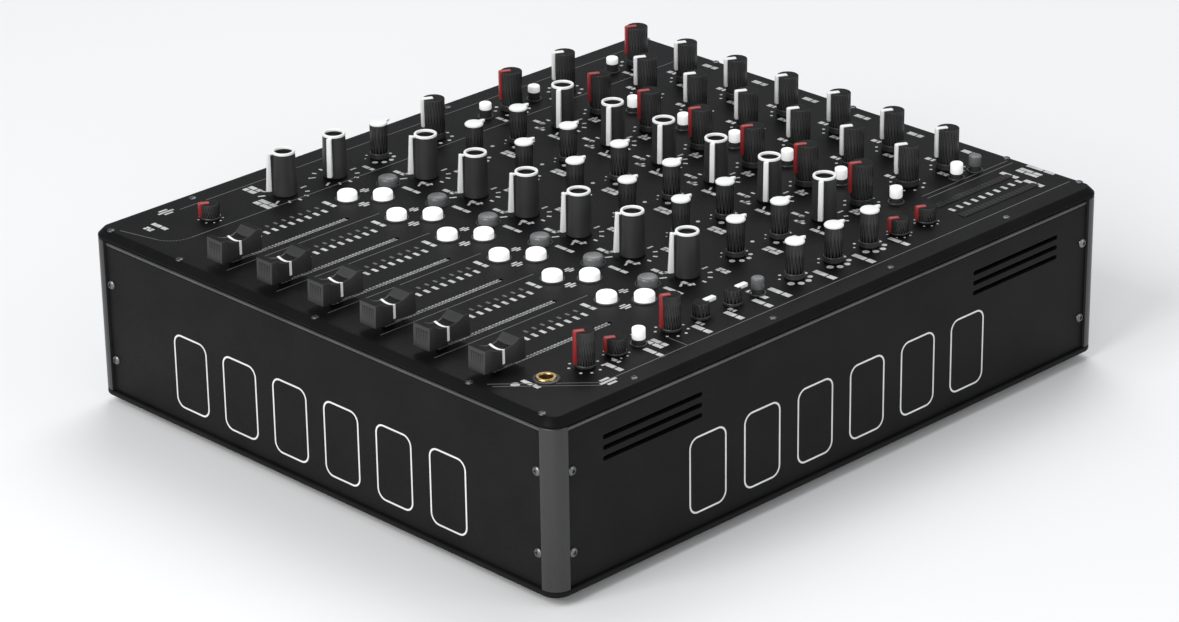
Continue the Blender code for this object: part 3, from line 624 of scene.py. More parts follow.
@dataclass
class Case(SubAssembly):
    """Base tray, side panels with their lips and vents, corner posts, screws and feet."""

    lip: float = 1.2
    bead: float = 1.1
    soft_edge: float = 0.6
    inlet_rim: float = 3.7
    foot_radius: float = 10.0
    vent_length: float = 70.0
    vent_width: float = 2.6
    vent_pitch: float = 5.8
    vent_y: float = 139.0
    vent_z: float = 77.0
    cut: float = 10.0
    screw_radius: float = 2.7
    screw_height: float = 1.6
    screw_inset: float = 13.4
    screw_levels: Point = (28.0, 72.5)
    post_radius: float = 9.0
    post_edge: float = 0.7

    def build(self) -> None:
        """Build and place the case's pieces."""
        self.tray()
        self.panels()
        self.posts()
        self.screws()
        self.feet()

    def tray(self) -> None:
        """Base tray with a softened rim."""
        low, high = box("base_tray")
        outline = rounded_outline(high[0] - low[0], high[1] - low[1], self.post_radius)
        shape = Shape().prism(outline, low[2], high[2])
        shape.round_where(on_level(low[2], high[2]), self.soft_edge, 2)
        self.shop.stamp("base_tray_shell", shape.made(Coat.CASE), replaced="base_tray")

    def panels(self) -> None:
        """Four side panels, each with a rolled upper edge and a bead along it."""
        for facing in Facing:
            low, high = box(facing.panel)
            shape = Shape().block(low, high)
            shape.round_where(facing.rim(high[2]), self.lip, 5)
            shape.round_where(facing.rim(low[2]), self.soft_edge, 2)
            if facing in (Facing.LEFT, Facing.RIGHT):
                shape.carve(self.vents(facing))
            if facing is Facing.REAR:
                a, b = box("mains_inlet")
                rim = self.inlet_rim
                shape.carve(Shape().block((a[0] + rim, a[1], a[2] + rim),
                                          (b[0] - rim, b[1] + self.cut, b[2] - rim)))
            self.shop.stamp(facing.panel + "_shell", shape.made(Coat.CASE), replaced=facing.panel)
            half = facing.along.dot(Vector(high) - Vector(low)) / 2
            rod = [(0.0, half), (self.bead * 0.8, half), (self.bead, half - self.bead * 0.2)]
            made = Shape().lathe(rod + [(r, -z) for r, z in reversed(rod)], 20).made(Coat.LIP)
            middle = facing.normal * (facing.reach - self.bead * 0.9)
            place = at(middle.x, middle.y, high[2] + self.bead * 0.25) @ turn_to(facing.along)
            self.shop.stamp(facing.panel + "_lip", made, place)

    def vents(self, facing: Facing) -> Shape:
        """Round ended slots that cut through a side panel.

        Args:
            facing: Side that the panel is on.

        Returns:
            The cutter.
        """
        cutter = Shape()
        outline = slot_outline(self.vent_width, self.vent_length)
        for y in (-self.vent_y, self.vent_y):
            for step in (-1, 0, 1):
                place = at(facing.normal.x * CAD_HIGH[0], y, self.vent_z + step * self.vent_pitch)
                cutter.prism(outline, -self.cut, self.cut, place @ Matrix.Rotation(QUARTER, 4, "Y"))
        return cutter

    def posts(self) -> None:
        """Quarter round corner posts."""
        for stem, i, j in CORNERS:
            node = stem + "_post"
            limits = box(node)
            corner = Vector((limits[i][0], limits[j][1])) * MM
            shape = Shape().block(*limits)
            shape.round_where(lambda e: all((v.co.xy - corner).length < NEAR for v in e.verts),
                              self.post_radius, 14)
            shape.round_where(on_level(limits[1][2]), self.post_edge, 3)
            self.shop.stamp(node + "_shell", shape.made(Coat.POST), replaced=node)

    def screws(self) -> None:
        """Domed socket screws at both ends of every panel."""
        head = screw_shape(self.screw_radius, self.screw_height).made(Coat.PANEL_SCREW)
        for facing in Facing:
            reach = facing.along.dot(Vector(CAD_HIGH)) - self.screw_inset
            for row, level in enumerate(self.screw_levels):
                for column, across in enumerate((-reach, reach)):
                    self.shop.stamp(f"{facing.panel}_screw_{row}{column}", head, facing.place(across, level))

    def feet(self) -> None:
        """Turned rubber feet with a hollow at the fixing screw."""
        r = self.foot_radius
        for stem, _, _ in CORNERS:
            node = stem + "_foot"
            top = box(node)[1][2]
            profile = [(0, top), (r - 0.6, top), (r, top - 0.6), (r - 1, 0.8), (r - 1.8, 0), (3.6, 0),
                       (3.2, 0.4), (3.2, 2.8), (0, 2.8)]
            made = Shape().lathe(profile, 48).made(Coat.RUBBER)
            self.shop.stamp(node + "_turned", made, over(node, 0.0), replaced=node)


@dataclass
class TopPlate(SubAssembly):
    """Face of the mixer with its bevelled rim, skirt, slots, key holes and rim screws."""

    thickness: float = 4.6
    bevel: float = 3.6
    soft_edge: float = 0.4
    corner: float = 9.0
    slot_width: float = 3.0
    lip_count: int = 34
    lip_pitch: float = 2.4
    lip_share: float = 0.34
    lip_gap: float = 1.2
    lip_depth: float = 1.2
    lip_sink: float = 0.1
    key_hole: float = 6.1
    socket_hole: float = 5.7
    skirt_inset: float = 4.3
    skirt_wall: float = 2.0
    skirt_depth: float = 12.0
    post_side: float = 10.6
    screw_radius: float = 2.1
    screw_height: float = 0.7
    screw_inset_x: float = 8.5
    screw_inset_y: float = 4.5
    screw_xs: tuple[float, ...] = (-166.0, -108.5, 0.0, 114.5, 166.0)
    screw_ys: tuple[float, ...] = (-145.0, -45.0, 45.0, 138.5)

    def build(self) -> None:
        """Build and place the plate, its skirt, the slots' lips and the screws."""
        low, high = box("top_plate")
        width, depth = CAD_HIGH[0] - CAD_LOW[0], high[1] - low[1]
        under = PLAN.face - self.thickness
        plate = Shape().prism(rounded_outline(width, depth, self.corner, 14), under, PLAN.face)
        plate.round_where(on_level(PLAN.face), self.bevel, 1)
        plate.round_where(on_level(PLAN.face, PLAN.face - self.bevel), self.soft_edge, 2)
        plate.carve(self.openings())
        self.shop.stamp("top_plate_shell", plate.made(Coat.PLATE), replaced="top_plate")
        self.skirt(width / 2, depth / 2, under)
        self.dust_lips()
        self.rim_screws(depth / 2)

    def openings(self) -> Shape:
        """Fader slots, key holes and the socket hole.

        Returns:
            The cutter.
        """
        slot = slot_outline(self.slot_width, PLAN.slot_back - PLAN.slot_front)
        hole = circle(self.key_hole, 36)
        cuts = [(slot, (PLAN.fader_dx, (PLAN.slot_front + PLAN.slot_back) / 2)), (hole, PLAN.cue_front),
                (hole, PLAN.cue_back), (hole, PLAN.mute)]
        cutter = Shape()
        for channel in CHANNELS:
            for outline, (dx, y) in cuts:
                cutter.prism(outline, -20, 10, at(PLAN.channel_x(channel) + dx, y, PLAN.face))
        return cutter.prism(circle(self.socket_hole, 36), -20, 10, over("headphone_socket", PLAN.face))

    def skirt(self, half_x: float, half_y: float, under: float) -> None:
        """Folded skirt behind the panels' upper edges.

        Args:
            half_x: Half the plate's width.
            half_y: Half the plate's depth.
            under: Level of the plate's underside.
        """
        shape = Shape()
        low = under - self.skirt_depth
        end_x, end_y = half_x - self.post_side, half_y - self.post_side
        insets = (self.skirt_inset, self.skirt_inset + self.skirt_wall)
        for side in (-1, 1):
            xs = sorted(side * (half_x - inset) for inset in insets)
            ys = sorted(side * (half_y - inset) for inset in insets)
            shape.block((xs[0], -end_y, low), (xs[1], end_y, under), self.soft_edge)
            shape.block((-end_x, ys[0], low), (end_x, ys[1], under), self.soft_edge)
        self.shop.stamp("top_plate_skirt", shape.made(Coat.PLATE))

    def dust_lips(self) -> None:
        """Ribbed grey lips along both sides of each fader slot, clear of the stem."""
        shape = Shape()
        start = (PLAN.slot_front + PLAN.slot_back - (self.lip_count - 1) * self.lip_pitch) / 2
        half, foot = self.lip_pitch * self.lip_share, -self.lip_depth
        for side in (-1, 1):
            near, far = sorted((side * self.lip_gap / 2, side * self.slot_width / 2))
            shape.block((near, PLAN.slot_front, foot - 0.4), (far, PLAN.slot_back, foot))
            for i in range(self.lip_count):
                y = start + i * self.lip_pitch
                shape.block((near, y - half, foot - 0.1), (far, y + half, -self.lip_sink))
        made = shape.made(Coat.DUST_LIP)
        for channel in CHANNELS:
            place = at(PLAN.channel_x(channel) + PLAN.fader_dx, 0.0, PLAN.face)
            self.shop.stamp(f"fader_slot_lips_{channel}", made, place)

    def rim_screws(self, half_y: float) -> None:
        """Small screws along the plate's rim.

        Args:
            half_y: Half the plate's depth.
        """
        head = screw_shape(self.screw_radius, self.screw_height).made(Coat.SCREW)
        reach_x, reach_y = CAD_HIGH[0] - self.screw_inset_x, half_y - self.screw_inset_y
        spots = [(x, side * reach_y) for x in self.screw_xs for side in (-1, 1)]
        spots += [(side * reach_x, y) for y in self.screw_ys for side in (-1, 1)]
        for number, (x, y) in enumerate(spots):
            self.shop.stamp(f"rim_screw_{number:02d}", head, at(x, y, PLAN.face))


@dataclass
class Legends(SubAssembly):
    """Print on the face: level marks, knob scales, plain caption bars and section lines.

    A caption is its middle along X and Y, its length, its height and, where it has several, its rows. A sign
    is its middle, its width and its height, and a dot is its middle and its radius. In a channel the middle
    along X counts from the channel's middle.
    """

    mark_count: int = 9
    mark_pitch: float = 5.88
    mark_start: float = -108.0
    mark_dx: float = -2.8
    faint_mark_dx: float = -9.2
    tick_count: int = 11
    tick_inner: float = 11.0
    tick_length: float = 2.6
    tick_width: float = 1.3
    dot_count: int = 9
    word_gap: float = 0.9
    line_width: float = 0.6
    channel_captions: tuple[tuple[float, ...], ...] = (
        (-8.5, -99.5, 10, 3.4), (8.8, -55, 13, 3.2), (7.5, -43.5, 7, 3), (-14.5, -42.5, 8.5, 3.4),
        (9.5, -18.5, 8, 4.6, 2), (9.8, 19, 11, 6.2, 2), (9.8, 54.5, 10.5, 3.4), (-14, 64.5, 8.5, 3),
        (-6.2, 57.5, 7, 2.6), (6.5, 88.5, 6.8, 5, 2), (-15, 174, 6, 4), (-14.5, 139.5, 6, 4),
        (4.5, 162.5, 6.5, 4.2), (-5.5, 196.5, 10.5, 4.6))
    channel_signs: tuple[tuple[float, ...], ...] = ((-9.5, -73, 4.8, 6.2), (5.2, -86.5, 5.6, 7.2))
    channel_dots: tuple[tuple[float, ...], ...] = ((-10.4, -40.5, 1.2), (-6.2, 20.5, 1.2))
    outer_captions: tuple[tuple[float, ...], ...] = (
        (-133.8, -123.5, 13.5, 8, 2), (-154.5, -115, 9.5, 8, 2), (-151, -183.2, 12, 3.6),
        (-152.5, -189.5, 6, 4, 2), (150, -18.8, 15, 4.4), (151.5, 14, 15, 4.4), (151.8, 44, 15, 4.4),
        (150, 73.8, 14, 3.8), (153, -35, 13, 4.2), (143.5, -28.8, 14, 4), (149, -108, 11, 7, 2),
        (155.5, -116.8, 13.5, 3.6), (134.5, -108.5, 6, 2.6),
        (153.2, -143, 12, 3.8), (149, -136.8, 5, 3), (138, -185.2, 12.5, 3.4), (139.5, 204, 19, 3.6),
        (137.5, 196.2, 15, 6.6, 2), (132, 185.8, 12, 4.2), (149.5, 185.8, 13, 4.2))
    outer_signs: tuple[tuple[float, ...], ...] = ((-164.5, -168, 7, 10.5), (163, -156.5, 7.8, 11))
    outer_dot: tuple[float, ...] = (133, -191, 2.4)

    def __post_init__(self) -> None:
        """Start both ink layers empty."""
        self.white = Shape()
        self.faint = Shape()

    def build(self) -> None:
        """Print everything and place it."""
        for channel in CHANNELS:
            self.channel(PLAN.channel_x(channel))
        self.outer_columns()
        self.section_lines()
        self.shop.stamp("legend_print", self.white.made(Coat.LEGEND))
        self.shop.stamp("section_print", self.faint.made(Coat.FAINT_INK))

    def bar(self, x: float, y: float, length: float, width: float, turn: float = 0.0,
            faint: bool = False) -> None:
        """Print a bar.

        Args:
            x: Middle along X.
            y: Middle along Y.
            length: Length along the turned X.
            width: Width across it.
            turn: Turn about Z in radians.
            faint: Whether it is grey and not white.
        """
        layer = self.faint if faint else self.white
        place = at(x, y, PLAN.face + (INK_RISE - INK_SINK) / 2, turn)
        size = Matrix.Diagonal((length * MM, width * MM, (INK_RISE + INK_SINK) * MM, 1.0))
        bmesh.ops.create_cube(layer.bm, size=1.0, matrix=place @ size)

    def line(self, start: Point, end: Point) -> None:
        """Print a thin grey line.

        Args:
            start: First point.
            end: Last point.
        """
        dx, dy = end[0] - start[0], end[1] - start[1]
        self.bar((start[0] + end[0]) / 2, (start[1] + end[1]) / 2, math.hypot(dx, dy) + self.line_width,
                 self.line_width, math.atan2(dy, dx), True)

    def dot(self, x: float, y: float, radius: float) -> None:
        """Print a round dot."""
        self.white.prism(circle(radius, 12, x, y), PLAN.face - INK_SINK, PLAN.face + INK_RISE)

    def ticks(self, x: float, y: float) -> None:
        """Print a knob's scale as radial ticks, longer at the ends and in the middle.

        Args:
            x: Knob axis along X.
            y: Knob axis along Y.
        """
        for i in range(self.tick_count):
            angle = QUARTER + AT_MIN - SWEEP * i / (self.tick_count - 1)
            reach = self.tick_length * (1.6 if i % 5 == 0 else 1.0)
            ring = self.tick_inner + reach / 2
            self.bar(x + ring * math.cos(angle), y + ring * math.sin(angle), reach, self.tick_width, angle)

    def dots(self, x: float, y: float, ring: float, first: float, last: float) -> None:
        """Print a knob's scale as dots from its lowest setting to its highest.

        Args:
            x: Knob axis along X.
            y: Knob axis along Y.
            ring: Radius of the ring of dots.
            first: Radius of the first dot.
            last: Radius of the last dot.
        """
        for i in range(self.dot_count):
            share = i / (self.dot_count - 1)
            angle = QUARTER + AT_MIN - SWEEP * share
            self.dot(x + ring * math.cos(angle), y + ring * math.sin(angle), first + (last - first) * share)

    def caption(self, x: float, y: float, length: float, height: float, rows: int = 1) -> None:
        """Print plain bars where a control has its caption, split like a row of short words.

        Args:
            x: Middle of the caption along X.
            y: Middle along Y.
            length: Whole length of the caption.
            height: Whole height of the caption.
            rows: Number of rows.
        """
        row_height, gap = height / rows, self.word_gap
        for row in range(rows):
            row_y = y + ((rows - 1) / 2 - row) * row_height
            first = (length - gap) * (0.62 if row % 2 == 0 else 0.38)
            self.bar(x - length / 2 + first / 2, row_y, first, row_height * 0.8)
            self.bar(x + (first + gap) / 2, row_y, length - gap - first, row_height * 0.8)

    def sign(self, x: float, y: float, width: float, height: float) -> None:
        """Print a small upright mark of three bars."""
        for step, share in ((-1, 0.55), (0, 1.0), (1, 0.55)):
            self.bar(x + step * width * 0.36, y, width * 0.22, height * share)

    def channel(self, x: float) -> None:
        """Print one channel's marks, captions and scales.

        Args:
            x: Middle of the channel along X.
        """
        for i in range(self.mark_count):
            y = self.mark_start - i * self.mark_pitch
            self.bar(x + self.mark_dx, y, 4.4, 2.1)
            self.bar(x + self.faint_mark_dx, y, 3.0, 1.6, faint=True)
        for draw, table in ((self.caption, self.channel_captions), (self.sign, self.channel_signs),
                            (self.dot, self.channel_dots)):
            for dx, *rest in table:
                draw(x + dx, *rest)
        for y in PLAN.ring_rows:
            self.ticks(x, y)
        for y in (PLAN.cap_front, PLAN.cap_back):
            self.dots(x, y, 8.0, 0.5, 1.7)
        for y in (PLAN.red, PLAN.line_front, PLAN.line_back):
            self.dots(x, y, 9.5, 0.9, 0.9)

    def outer_columns(self) -> None:
        """Print of the columns left and right of the channels."""
        left, right = PLAN.left, PLAN.right
        for joint in ("left_ring_knob_front_turn", "left_ring_knob_back_turn"):
            self.ticks(*hinge_point(joint)[:2])
        left_tall = (*PLAN.left_lines, *PLAN.left_reds)
        scales = ((left, (PLAN.left_cap,), 8.0, 0.5, 1.7), (left, left_tall, 9.8, 1.1, 1.1),
                  (left, (PLAN.left_small,), 6.6, 0.6, 0.6), (right, PLAN.right_caps, 8.2, 0.7, 2.0),
                  (right, PLAN.right_reds, 8.5, 0.8, 0.8), (right, PLAN.right_smalls, 6.6, 0.6, 0.6))
        for x, rows, ring, first, last in scales:
            for y in rows:
                self.dots(x, y, ring, first, last)
        for y in (PLAN.left_cap, *left_tall):
            self.caption(left + 7.5, y - 15.0, 8.5, 3.2)
        for y in PLAN.right_switches:
            self.caption(153.0, y - 10.2, 12.5, 4.2)
            self.caption(147.5, y - 5.8, 5.0, 3.2)
        for row in self.outer_captions:
            self.caption(*row)
        for row in self.outer_signs:
            self.sign(*row)
        self.dot(*self.outer_dot)

    def section_lines(self) -> None:
        """Thin lines between the channels and round the outer columns."""
        edge, back, front = CAD_HIGH[0] - 16.2, 201.0, -196.5
        bend, inner, corner_y, meter_front = 15.0, 127.0, -160.0, 130.0
        curve = arc(-inner - bend, front + bend, bend, 0, -70, 10)
        between = [PLAN.channel_x(channel) + PLAN.pitch / 2 + 1.0 for channel in CHANNELS[:-1]]
        lines = [((x, front), (x, -90.0)) for x in between] + list(zip(curve, curve[1:]))
        lines += [((x, back), (x, meter_front)) for x in (inner - 5.5, inner - 9.5)]
        lines += [((x, corner_y), (x, back)) for x in (-edge, edge)]
        lines += [((-inner, back), (-inner, front + bend)), (curve[-1], (-edge, front - 5.0)),
                  ((edge - 13.0, -99.0), (edge, -99.0)), ((edge, corner_y), (edge - 39.0, -200.0)),
                  ((edge + 2.0, corner_y - 2.5), (edge - 35.0, -200.0))]
        for start, end in lines:
            self.line(start, end)


@dataclass
class SidePrint(SubAssembly):
    """Plain outlined bars on the front and right panels."""

    bars: int = 6
    height: float = 43.0
    width: float = 27.0
    pitch: float = 40.0
    level: float = 39.0
    stroke: float = 1.0
    corner: float = 6.0

    def build(self) -> None:
        """Print a row of outlined bars on each panel."""
        for facing, turn in ((Facing.FRONT, 0.0), (Facing.RIGHT, QUARTER)):
            shape = Shape()
            for i in range(self.bars):
                place = facing.place((i - (self.bars - 1) / 2) * self.pitch, self.level)
                shape.absorb(self.ring().bm, place @ Matrix.Rotation(turn, 4, "Z"))
            self.shop.stamp(facing.panel + "_print", shape.made(Coat.INK))

    def ring(self) -> Shape:
        """Flat outline of one bar.

        Returns:
            The shape.
        """
        slim = 2 * self.stroke
        outer = rounded_outline(self.width, self.height, self.corner, 8)
        inner = rounded_outline(self.width - slim, self.height - slim, self.corner - self.stroke, 8)
        return Shape().prism(outer, -INK_SINK, INK_RISE).carve(Shape().prism(inner, -1.0, 1.0))


def fluted(radius_top: float, radius_foot: float, foot: float, top: float, flutes: int,
           depth: float) -> Shape:
    """Cylinder with grooves down its side and a softened top edge.

    Args:
        radius_top: Radius under the top.
        radius_foot: Radius at the foot.
        foot: Lower level.
        top: Upper level.
        flutes: Number of grooves.
        depth: Depth of a groove.

    Returns:
        The shape.
    """
    bm = bmesh.new()
    bmesh.ops.create_cone(bm, cap_ends=True, segments=flutes * 3, radius1=radius_foot * MM,
                          radius2=radius_top * MM, depth=(top - foot) * MM, matrix=at(0, 0, (top + foot) / 2))
    sides = [face for face in bm.faces if abs(face.normal.z) < 0.5]
    sides.sort(key=lambda face: math.atan2(face.calc_center_median().y, face.calc_center_median().x))
    bmesh.ops.inset_individual(bm, faces=sides[::3], thickness=depth * 0.9 * MM, depth=-depth * MM)
    return Shape().absorb(bm).round_where(on_level(top), 0.6, 2)


def knob_skirt(radius: float, rim: float) -> list[Point]:
    """Profile of the plain skirt at a knob's foot, up to its rim."""
    return [(0, rim), (radius - 0.3, rim), (radius, rim - 0.4), (radius, 0.8), (radius - 0.4, 0.3), (0, 0.3)]


@dataclass
class RingKnobs(SubAssembly):
    """Tall knobs with a white ring on top and a white fin down one side."""

    radius: float = 6.3
    skirt: float = 6.9
    height: float = 25.6
    rim: float = 1.3
    dish: float = 2.2
    fin_width: float = 2.7
    fin_in: float = 7.4
    fin_out: float = 9.1
    fin_foot: float = 10.4
    fin_level: float = 2.4
    facets: int = 56

    def body(self) -> Made:
        """Black body with its dished top and the web behind the fin.

        Returns:
            The mesh.
        """
        h, r, skirt = self.height, self.radius, self.skirt
        inner, floor = r - self.rim, h - self.dish
        shape = Shape().lathe([
            (0, floor - 0.3), (inner * 0.7, floor - 0.2), (inner, floor), (inner + 0.1, h - 0.6),
            (r - 0.1, h - 0.6), (r, h - 0.9), (r, h - 2.4), (r + 0.1, h - 3), (skirt - 0.1, 3), (skirt, 1.6),
            (skirt, 0.7), (skirt - 0.4, 0.3), (0, 0.3)], self.facets)
        half = self.fin_width / 2 - 0.2
        shape.block((-half, r - 0.6, self.fin_level), (half, self.fin_in + 0.2, h - 2.2), 0.15)
        # Up-facing faces take the darker top finish: painted shade.
        return shape.made(Coat.KNOB, top=Coat.KNOB_TOP_SHADE)

    def mark(self) -> Made:
        """White ring with the link and the fin.

        Returns:
            The mesh.
        """
        h, r, half = self.height, self.radius, self.fin_width / 2
        inner = r - self.rim
        shape = Shape().lathe([
            (inner, h - 0.4), (inner + 0.2, h - 0.1), (inner + 0.5, h), (r - 0.4, h), (r - 0.1, h - 0.1),
            (r + 0.1, h - 0.4), (r + 0.1, h - 1.3), (inner, h - 1.3), (inner, h - 0.4)], self.facets)
        shape.block((-half * 0.75, r - 0.4, h - 2), (half * 0.75, self.fin_in + 0.6, h - 1), 0.2, 2)
        outline = [(self.fin_in, self.fin_level), (self.fin_foot, self.fin_level), (self.fin_out, h - 0.8),
                   (self.fin_in, h - 0.8)]
        fin = Shape().prism(outline, -half, half, SIDEWAYS).round_where(bent(1.0), 0.4, 3)
        return shape.absorb(fin.bm).made(Coat.WHITE)

    def build(self) -> None:
        """Place a knob on each of its hinges."""
        body, mark = self.body(), self.mark()
        turns = {f"low_ring_knob_{c}": AT_MIN for c in CHANNELS}
        turns |= {f"high_ring_knob_{c}": AT_MAX for c in CHANNELS}
        turns |= {"left_ring_knob_front": AT_MIN, "left_ring_knob_back": AT_MAX}
        for node, turn in turns.items():
            place = at(*hinge_point(node + "_turn"), turn)
            self.shop.stamp(node + "_body", body, place, node, node)
            self.shop.stamp(node + "_mark", mark, place, node)


class LineKnob(Enum):
    """Types of knob with a pointer line: radius, skirt radius, height and foot of the line."""

    TALL = (6.0, 6.5, 23.8, 7.2)
    SLIM = (4.8, 5.3, 19.5, 2.0)
    LOW = (5.0, 5.4, 9.0, 1.6)

    def body(self) -> Made:
        """Fluted body on a plain skirt.

        Returns:
            The mesh.
        """
        radius, skirt, height, foot = self.value
        shape = fluted(radius - 0.1, radius + 0.1, 1.4, height, 22, 0.22)
        shape.lathe(knob_skirt(skirt, min(foot, 4.0)), 48)
        # Up-facing faces take the darker top finish: painted shade.
        return shape.made(Coat.KNOB, top=Coat.KNOB_TOP_SHADE)

    def line(self, coat: Coat) -> Made:
        """Pointer line with its bend at the top edge, towards +Y.

        Args:
            coat: White or red finish.

        Returns:
            The mesh.
        """
        radius, _, top, foot = self.value
        half, inner, reach, rise, bend = 1.45, radius - 1.0, radius + 1.4, 0.6, 1.2
        outline = [(0.4, top - rise), (inner, top - rise), (inner, foot), (reach, foot),
                   *arc(reach - bend, top + rise - bend, bend, 0, 90, 4), (0.4, top + rise)]
        sharp, side = bent(1.0), half * MM
        shape = Shape().prism(outline, -half, half, SIDEWAYS)
        shape.round_where(lambda e: sharp(e) and all(abs(abs(v.co.x) - side) < NEAR for v in e.verts), 0.3, 2)
        return shape.made(coat)


@dataclass
class LineKnobs(SubAssembly):
    """Fluted knobs with a white or red line over the top and down the side."""

    def build(self) -> None:
        """Place the jointed and the fixed line knobs."""
        bodies = {kind: kind.body() for kind in LineKnob}
        lines = {(kind, coat): kind.line(coat) for kind in LineKnob for coat in (Coat.WHITE, Coat.RED)}
        for channel in CHANNELS:
            for stem, coat in (("red_knob", Coat.RED), ("level_knob", Coat.WHITE)):
                node = f"{stem}_{channel}"
                place = at(*hinge_point(node + "_turn"), AT_MIN)
                self.shop.stamp(node + "_body", bodies[LineKnob.TALL], place, node, node)
                self.shop.stamp(node + "_line", lines[LineKnob.TALL, coat], place, node)
        for name, x, y, kind, coat, node in self.fixed():
            place = at(x, y, PLAN.face, AT_MIN)
            self.shop.stamp(name + "_body", bodies[kind], place, replaced=node)
            self.shop.stamp(name + "_line", lines[kind, coat], place)

    @staticmethod
    def fixed() -> Iterator[tuple[str, float, float, LineKnob, Coat, str]]:
        """Knobs that a bank holds.

        Yields:
            Name, place along X and Y, type, line finish and node of each knob.
        """
        for channel in CHANNELS:
            x = PLAN.channel_x(channel)
            yield f"trim_knob_{channel}", x, PLAN.line_front, LineKnob.TALL, Coat.WHITE, "knob_bank"
        columns = (("left_line_knob", PLAN.left, PLAN.left_lines, LineKnob.TALL, Coat.WHITE),
                   ("left_red_knob", PLAN.left, PLAN.left_reds, LineKnob.TALL, Coat.RED),
                   ("right_red_knob", PLAN.right, PLAN.right_reds, LineKnob.SLIM, Coat.RED),
                   ("right_small_knob", PLAN.right, PLAN.right_smalls, LineKnob.LOW, Coat.RED))
        for stem, x, rows, kind, coat in columns:
            for number, y in enumerate(rows, 1):
                yield f"{stem}_{number}", x, y, kind, coat, "knob_bank"
        yield "left_small_knob", PLAN.left, PLAN.left_small, LineKnob.LOW, Coat.RED, "key_bank"


@dataclass
class CapKnobs(SubAssembly):
    """Slim fluted knobs under a white cap with a pointer nose."""

    radius: float = 4.7
    skirt: float = 5.4
    skirt_height: float = 3.6
    cap_radius: float = 5.2
    cap_thickness: float = 1.9
    height: float = 21.8
    nose: float = 8.0
    nose_width: float = 4.2
    nose_round: float = 1.0

    def body(self) -> Made:
        """Black body, plain at the foot.

        Returns:
            The mesh.
        """
        top = self.height - self.cap_thickness + 0.2
        shape = fluted(self.radius, self.radius + 0.1, 3.0, top, 16, 0.28)
        return shape.lathe(knob_skirt(self.skirt, self.skirt_height), 40).made(Coat.KNOB)

    def cap(self) -> Made:
        """White cap with its nose towards +Y.

        Returns:
            The mesh.
        """
        r, h, half, low = self.cap_radius, self.height, self.nose_width / 2, self.height - self.cap_thickness
        shape = Shape().lathe([(0, h), (r * 0.6, h - 0.1), (r - 0.6, h - 0.3), (r, h - 0.9), (r, low + 0.3),
                               (r - 0.3, low), (0, low)], 44)
        tip = arc(0, self.nose - self.nose_round, self.nose_round, 0, 180, 6)
        nose = Shape().prism([(half, 3), *tip, (-half, 3)], low + 0.2, h - 0.4)
        nose.round_where(on_level(h - 0.4), 0.3, 2)
        return shape.absorb(nose.bm).made(Coat.WHITE)

    def build(self) -> None:
        """Place every cap knob."""
        body, cap = self.body(), self.cap()
        spots = [(f"cap_knob_{row}_{c}", PLAN.channel_x(c), y)
                 for row, y in (("front", PLAN.cap_front), ("back", PLAN.cap_back)) for c in CHANNELS]
        spots += [("left_cap_knob", PLAN.left, PLAN.left_cap)]
        spots += [(f"right_cap_knob_{i}", PLAN.right, y) for i, y in enumerate(PLAN.right_caps, 1)]
        for name, x, y in spots:
            place = at(x, y, PLAN.face)
            self.shop.stamp(name + "_body", body, place, replaced="knob_bank")
            self.shop.stamp(name + "_cap", cap, place)


@dataclass
class Selectors(SubAssembly):
    """Low black selectors with a white nose."""

    radius: float = 4.5
    height: float = 8.6
    nose_reach: float = 9.8
    nose_width: float = 3.2

    def build(self) -> None:
        """Place both selectors."""
        r, h, half, reach = self.radius, self.height, self.nose_width / 2, self.nose_reach
        shape = fluted(r - 0.3, r, 1.2, h, 14, 0.22)
        shape.lathe([(0, 1.8), (r + 0.3, 1.8), (r + 0.6, 1.4), (r + 0.6, 0.3), (0, 0.3)], 36)
        shape.block((-half, 0, h - 2.2), (half, reach - 0.4, h - 1.4), 0.2)
        # Up-facing faces take the darker top finish: painted shade.
        body = shape.made(Coat.KNOB, top=Coat.KNOB_TOP_SHADE)
        nose = Shape().block((-half, r * 0.55, h - 1.6), (half, reach, h + 0.6), 0.5, 3).made(Coat.WHITE)
        for number, y in enumerate(PLAN.right_switches, 1):
            place = at(PLAN.right, y, PLAN.face)
            self.shop.stamp(f"right_selector_{number}_body", body, place, replaced="knob_bank")
            self.shop.stamp(f"right_selector_{number}_nose", nose, place)


class Button(Enum):
    """Types of small button: cap finish, level where the cap starts and height."""

    LIT = (Coat.LIT, 3.4, 9.2)
    TIPPED = (Coat.LIT, 5.2, 8.8)
    DARK = (Coat.UNLIT, 3.4, 9.2)

    def pair(self, r: float) -> tuple[Made, Made]:
        """Cap of the button, and the black stem in its collar.

        Args:
            r: Radius of the cap.

        Returns:
            The two meshes.
        """
        coat, seam, h = self.value
        stem = Shape().lathe([(0, seam), (r - 0.3, seam), (r - 0.3, 0.3), (0, 0.3)], 32)
        stem.lathe([(r + 0.3, 0.7), (r + 0.9, 0.7), (r + 1.2, 0.3), (r + 1.2, -0.1), (r + 0.3, -0.1),
                    (r + 0.3, 0.7)], 32)
        cap = Shape().lathe([(0, h), (r * 0.4, h), *arc(r - 0.9, h - 1, 0.9, 90, 0, 5), (r, seam),
                             (r - 0.3, seam - 0.4), (0, seam - 0.4)], 36)
        return cap.made(coat, DOMED), stem.made(Coat.KNOB)


